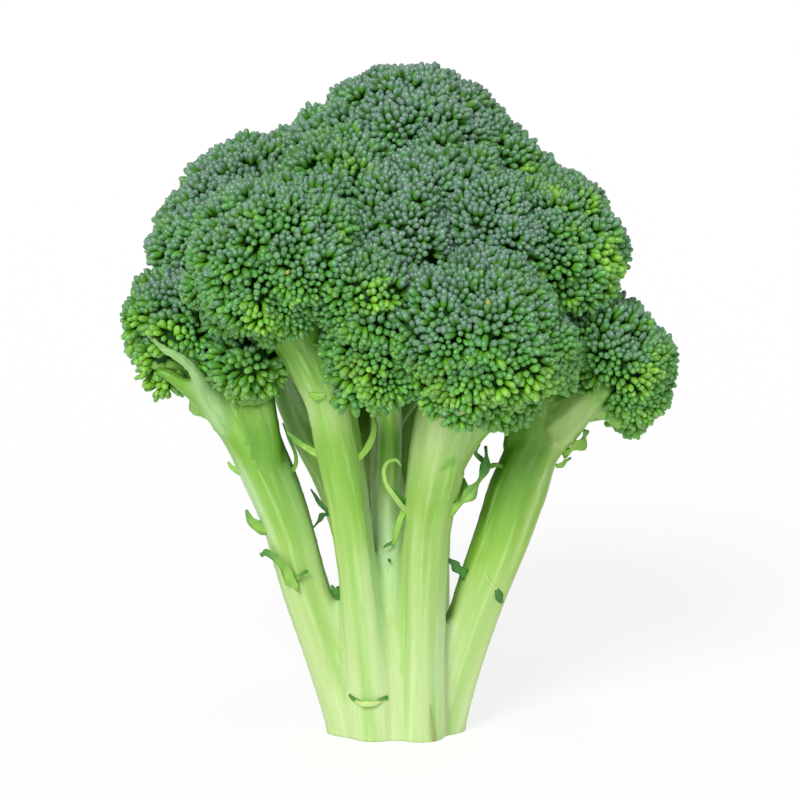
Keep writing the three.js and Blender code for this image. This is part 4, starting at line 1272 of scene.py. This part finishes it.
def bud_finish(shape):
    """Buds: painted shade down between them, green at the side, a blue-grey waxy bloom on the tips that on
    upward-facing buds is partly painted sky reflection, pale rims that are partly painted highlight, yellower where
    young.
    """
    finish = Finish("bud skin")
    tip, bloom, youth, tone = (finish.value(name) for name in ("tip", "bloom", "youth", "tone"))
    opening, wood, ring = (finish.value(name) for name in ("opening", "wood", "ring"))
    mottle = finish.noise(finish.place(), 900.0)
    sided = (youth * (1.25 - tip.step(0.45, 0.95) * (1 - youth) * 1.15) + (mottle - 0.5) * 0.3).clamped()
    young = finish.mix(sided, shape.side_green, shape.young_green)
    stalk = finish.mix(0.7, young, shape.young_green)
    side = finish.mix(tip.step(0.25, 0.7), stalk, young)
    top = finish.mix((tip.step(0.4, 0.98) * (bloom * 0.78 + 0.15)).clamped(), side, shape.bloom_and_sheen_green)
    purple = finish.mix((tip.step(0.8, 1.0) * bloom * tone.step(0.5, 0.9) * 0.55).clamped(), top, TIP_PURPLE)
    # Pale rims on the bud tips: partly their whitish sepal edges, partly painted highlight.
    rim_pale_and_highlit = finish.mix((ring.step(0.5, 1.0) * (bloom * 0.3 + 0.42)).clamped(), purple, RIM_PALE_AND_HIGHLIGHT)
    # Painted shade: each bud darkens towards its base, down between the buds.
    deep = finish.mix((1 - tip.step(0.08, 0.62)) * (0.85 - bloom * 0.3), rim_pale_and_highlit, shape.painted_shade_green)
    varied = finish.mix(0.6, deep, finish.mix(tone, DARK_TONE, LIGHT_TONE), "OVERLAY")
    opened = finish.mix(opening * tip.step(0.3, 0.6) * 0.85, varied, PETAL_YELLOW)
    fleshy = finish.mix(wood * -1.0, finish.mix(wood, opened, RIB_GREEN), CORE_SHADE_GREEN)
    return finish.done(color=fleshy, roughness=0.3 + bloom * 0.12 + (1 - tip.step(0.05, 0.35)) * 0.4,
                       normal=finish.bump(mottle, 0.25, 0.0002), specular=0.45, subsurface=0.12,
                       radius=(0.25, 0.6, 0.12), scale=0.0012)


def stalk_finish(shape):
    """Stalk: pale at the foot and greener upwards, with painted shade under the crown and over its shaded stretches,
    streaked along its branches, with a faint waxy bloom.
    """
    finish = Finish("stalk skin")
    place, rib, deep, wax = finish.place(), finish.value("rib"), finish.value("deep"), finish.value("wax")
    grain = finish.node("ShaderNodeAttribute", "Vector", {"attribute_name": "grain"})
    height = finish.node("ShaderNodeSeparateXYZ", "Z", values={"Vector": place})
    streak, broad, fine = finish.noise(grain, 0.55, 3.0), finish.noise(grain, 0.22), finish.noise(grain, 1.7)
    blotch = finish.noise(place, 55.0, 3.0)
    upward = (height * 11.0 + (broad - 0.5) * 0.9 + deep * height * 10.0 - 0.25).clamped()
    body = finish.mix(upward, shape.foot_green, shape.mid_green)
    # Towards the crown: partly the stalk's greener top, partly painted shade under the heads.
    toward_crown = (height - 0.062) * 22.0 + (broad - 0.5) * 0.8 + deep * 0.5 - 0.3
    crown = finish.mix(toward_crown.clamped(), body, shape.crown_green_and_shade)
    grooved = finish.mix((1 - rib.step(-1.2, 0.6)) * 0.45, crown, GROOVE_GREEN)
    streaked = finish.mix(((streak - 0.5) * 3.4).clamped() * 0.62, grooved, STREAK_GREEN)
    banded = finish.mix(((0.5 - broad) * 4.5).clamped() * (height * 4.0 + 0.2).clamped(), streaked, BAND_GREEN)
    flecked = finish.mix(((0.48 - fine) * 3.0).clamped() * 0.38, banded, FLECK_GREEN)
    # Painted shade: the most shaded stretches take the crown colour again, over the streaks.
    darker = finish.mix(((toward_crown - 0.8) * 1.4).clamped() * 0.75, flecked, shape.crown_green_and_shade)
    patchy = ((blotch - 0.48) * 3.0).clamped() * (1 - (toward_crown - 0.3).clamped()) * 0.14
    waxy = finish.mix((wax * (0.45 + streak * 0.6) + patchy).clamped(), darker, WAX_GREEN)
    stained = finish.mix((wax * -1.0 + (fine - 0.5) * 0.8).clamped() * 0.6, waxy, STAIN_GREEN)
    return finish.done(color=stained, roughness=0.42 + (streak - 0.5) * 0.25,
                       normal=finish.bump(streak * 0.7 + fine * 0.3, 0.3, 0.0006), specular=0.45, subsurface=0.2,
                       radius=(0.5, 0.8, 0.25), scale=0.003)


def leaf_finish(shape):
    """Leaflets: as pale as the stalk at the root, darker and mottled towards the tip."""
    finish = Finish("leaflet skin")
    dark, mottle = finish.value("dark"), finish.noise(finish.place(), 420.0, 3.0)
    pale = finish.mix(dark.step(0.0, 0.45), LEAF_ROOT, LEAF_MIDDLE)
    green = finish.mix((dark.step(0.4, 1.0) + (mottle - 0.5) * 0.8).clamped(), pale, shape.leaf_green)
    darkest = finish.mix(dark.step(1.0, 1.15) * 0.85, green, LEAF_DARK)
    scarred = finish.mix(dark.step(1.3, 1.8), darkest, SCAR_BROWN)
    return finish.done(color=scarred, roughness=0.38 + (mottle - 0.5) * 0.2,
                       normal=finish.bump(mottle, 0.35, 0.0004), specular=0.4, subsurface=0.15,
                       radius=(0.4, 0.8, 0.2), scale=0.0015)


def stage_finish():
    """Plain white studio floor."""
    finish = Finish("studio floor")
    return finish.done(color=FLOOR_GREY, roughness=0.88 + finish.noise(finish.place(), 3.0) * 0.04, specular=0.1,
                       glow=(1, 1, 1), glow_strength=0.785)


# ---- The studio ----

class StageSettings(bpy.types.PropertyGroup):
    """Camera and light."""

    distance: FloatProperty(name="Distance", description="Camera to the middle of the broccoli", default=1.0, min=0.2,
                            subtype="DISTANCE", unit="LENGTH")
    elevation: FloatProperty(name="Elevation", description="Height of the camera over the middle",
                             default=math.radians(10), subtype="ANGLE", unit="ROTATION")
    lens: FloatProperty(name="Lens", description="Focal length of the camera", default=157.5, min=1,
                        subtype="DISTANCE_CAMERA", unit="CAMERA")
    key: FloatProperty(name="Key Light", description="Strength of the main light", default=2.3, min=0)
    softness: FloatProperty(name="Softness", description="Spread of the main light", default=math.radians(24), min=0,
                            subtype="ANGLE", unit="ROTATION")
    sky: FloatProperty(name="Sky", description="Strength of the even light all round", default=0.52, min=0)


class SetStage(bpy.types.Operator):
    """Lay the floor, hang the lights and set the camera"""

    bl_idname = "broccoli.set_stage"
    bl_label = "Studio"

    def execute(self, context):
        studio = context.scene.broccoli_stage
        bm = bmesh.new()
        bmesh.ops.create_grid(bm, x_segments=1, y_segments=1, size=FLOOR_REACH)
        mesh = bpy.data.meshes.new("studio_floor")
        bm.to_mesh(mesh)
        bm.free()
        floor = link("studio_floor", mesh)
        mesh.materials.append(stage_finish())
        spot = MIDDLE + studio.distance * Vector((0, -math.cos(studio.elevation), math.sin(studio.elevation)))
        camera = link("camera", bpy.data.cameras.new("camera"))
        camera.data.lens = studio.lens
        camera.data.sensor_width = SENSOR_WIDTH
        camera.location = spot
        camera.rotation_euler = (MIDDLE - spot).to_track_quat("-Z", "Y").to_euler()
        context.scene.camera = camera
        sun = link("key", bpy.data.lights.new("key", "SUN"))
        sun.data.energy = studio.key
        sun.data.angle = studio.softness
        sun.rotation_euler = LIGHT_WAY.to_track_quat("-Z", "Y").to_euler()
        world = bpy.data.worlds.new("studio")
        world.use_nodes = True
        sky = world.node_tree.nodes["Background"]
        sky.inputs["Color"].default_value = (1, 1, 1, 1)
        sky.inputs["Strength"].default_value = studio.sky
        context.scene.world = world
        context.scene.view_settings.view_transform = "Standard"
        return {"FINISHED"}


class BroccoliPanel(bpy.types.Panel):
    """The pieces of the broccoli, in the order they are made"""

    bl_idname = "VIEW3D_PT_broccoli"
    bl_label = "Broccoli Head"
    bl_space_type = "VIEW_3D"
    bl_region_type = "UI"
    bl_category = "Broccoli"

    def draw(self, context):
        for operator in OPERATORS:
            self.layout.operator(operator.bl_idname)
        for name in SETTINGS:
            settings, box = getattr(context.scene, name), self.layout.box()
            for key in settings.__annotations__:
                box.prop(settings, key)


SETTINGS = {"broccoli_budding": BuddingSettings, "broccoli_stalk": StalkSettings, "broccoli_stage": StageSettings}
OPERATORS = (SetStage, GrowStalk, GrowLeaflets, GrowBudHeads)
CLASSES = (*SETTINGS.values(), *OPERATORS, BroccoliPanel)


def register():
    """Add the classes and their settings."""
    for cls in CLASSES:
        bpy.utils.register_class(cls)
    for name, cls in SETTINGS.items():
        setattr(bpy.types.Scene, name, PointerProperty(type=cls))


def unregister():
    """Take them away again."""
    for name in SETTINGS:
        delattr(bpy.types.Scene, name)
    for cls in reversed(CLASSES):
        bpy.utils.unregister_class(cls)


def main():
    """Make every piece."""
    register()
    bpy.ops.broccoli.set_stage()
    bpy.ops.broccoli.grow_stalk()
    bpy.ops.broccoli.grow_leaflets()
    bpy.ops.broccoli.grow_bud_heads()
    bpy.context.view_layer.update()


if __name__ == "__main__":
    main()
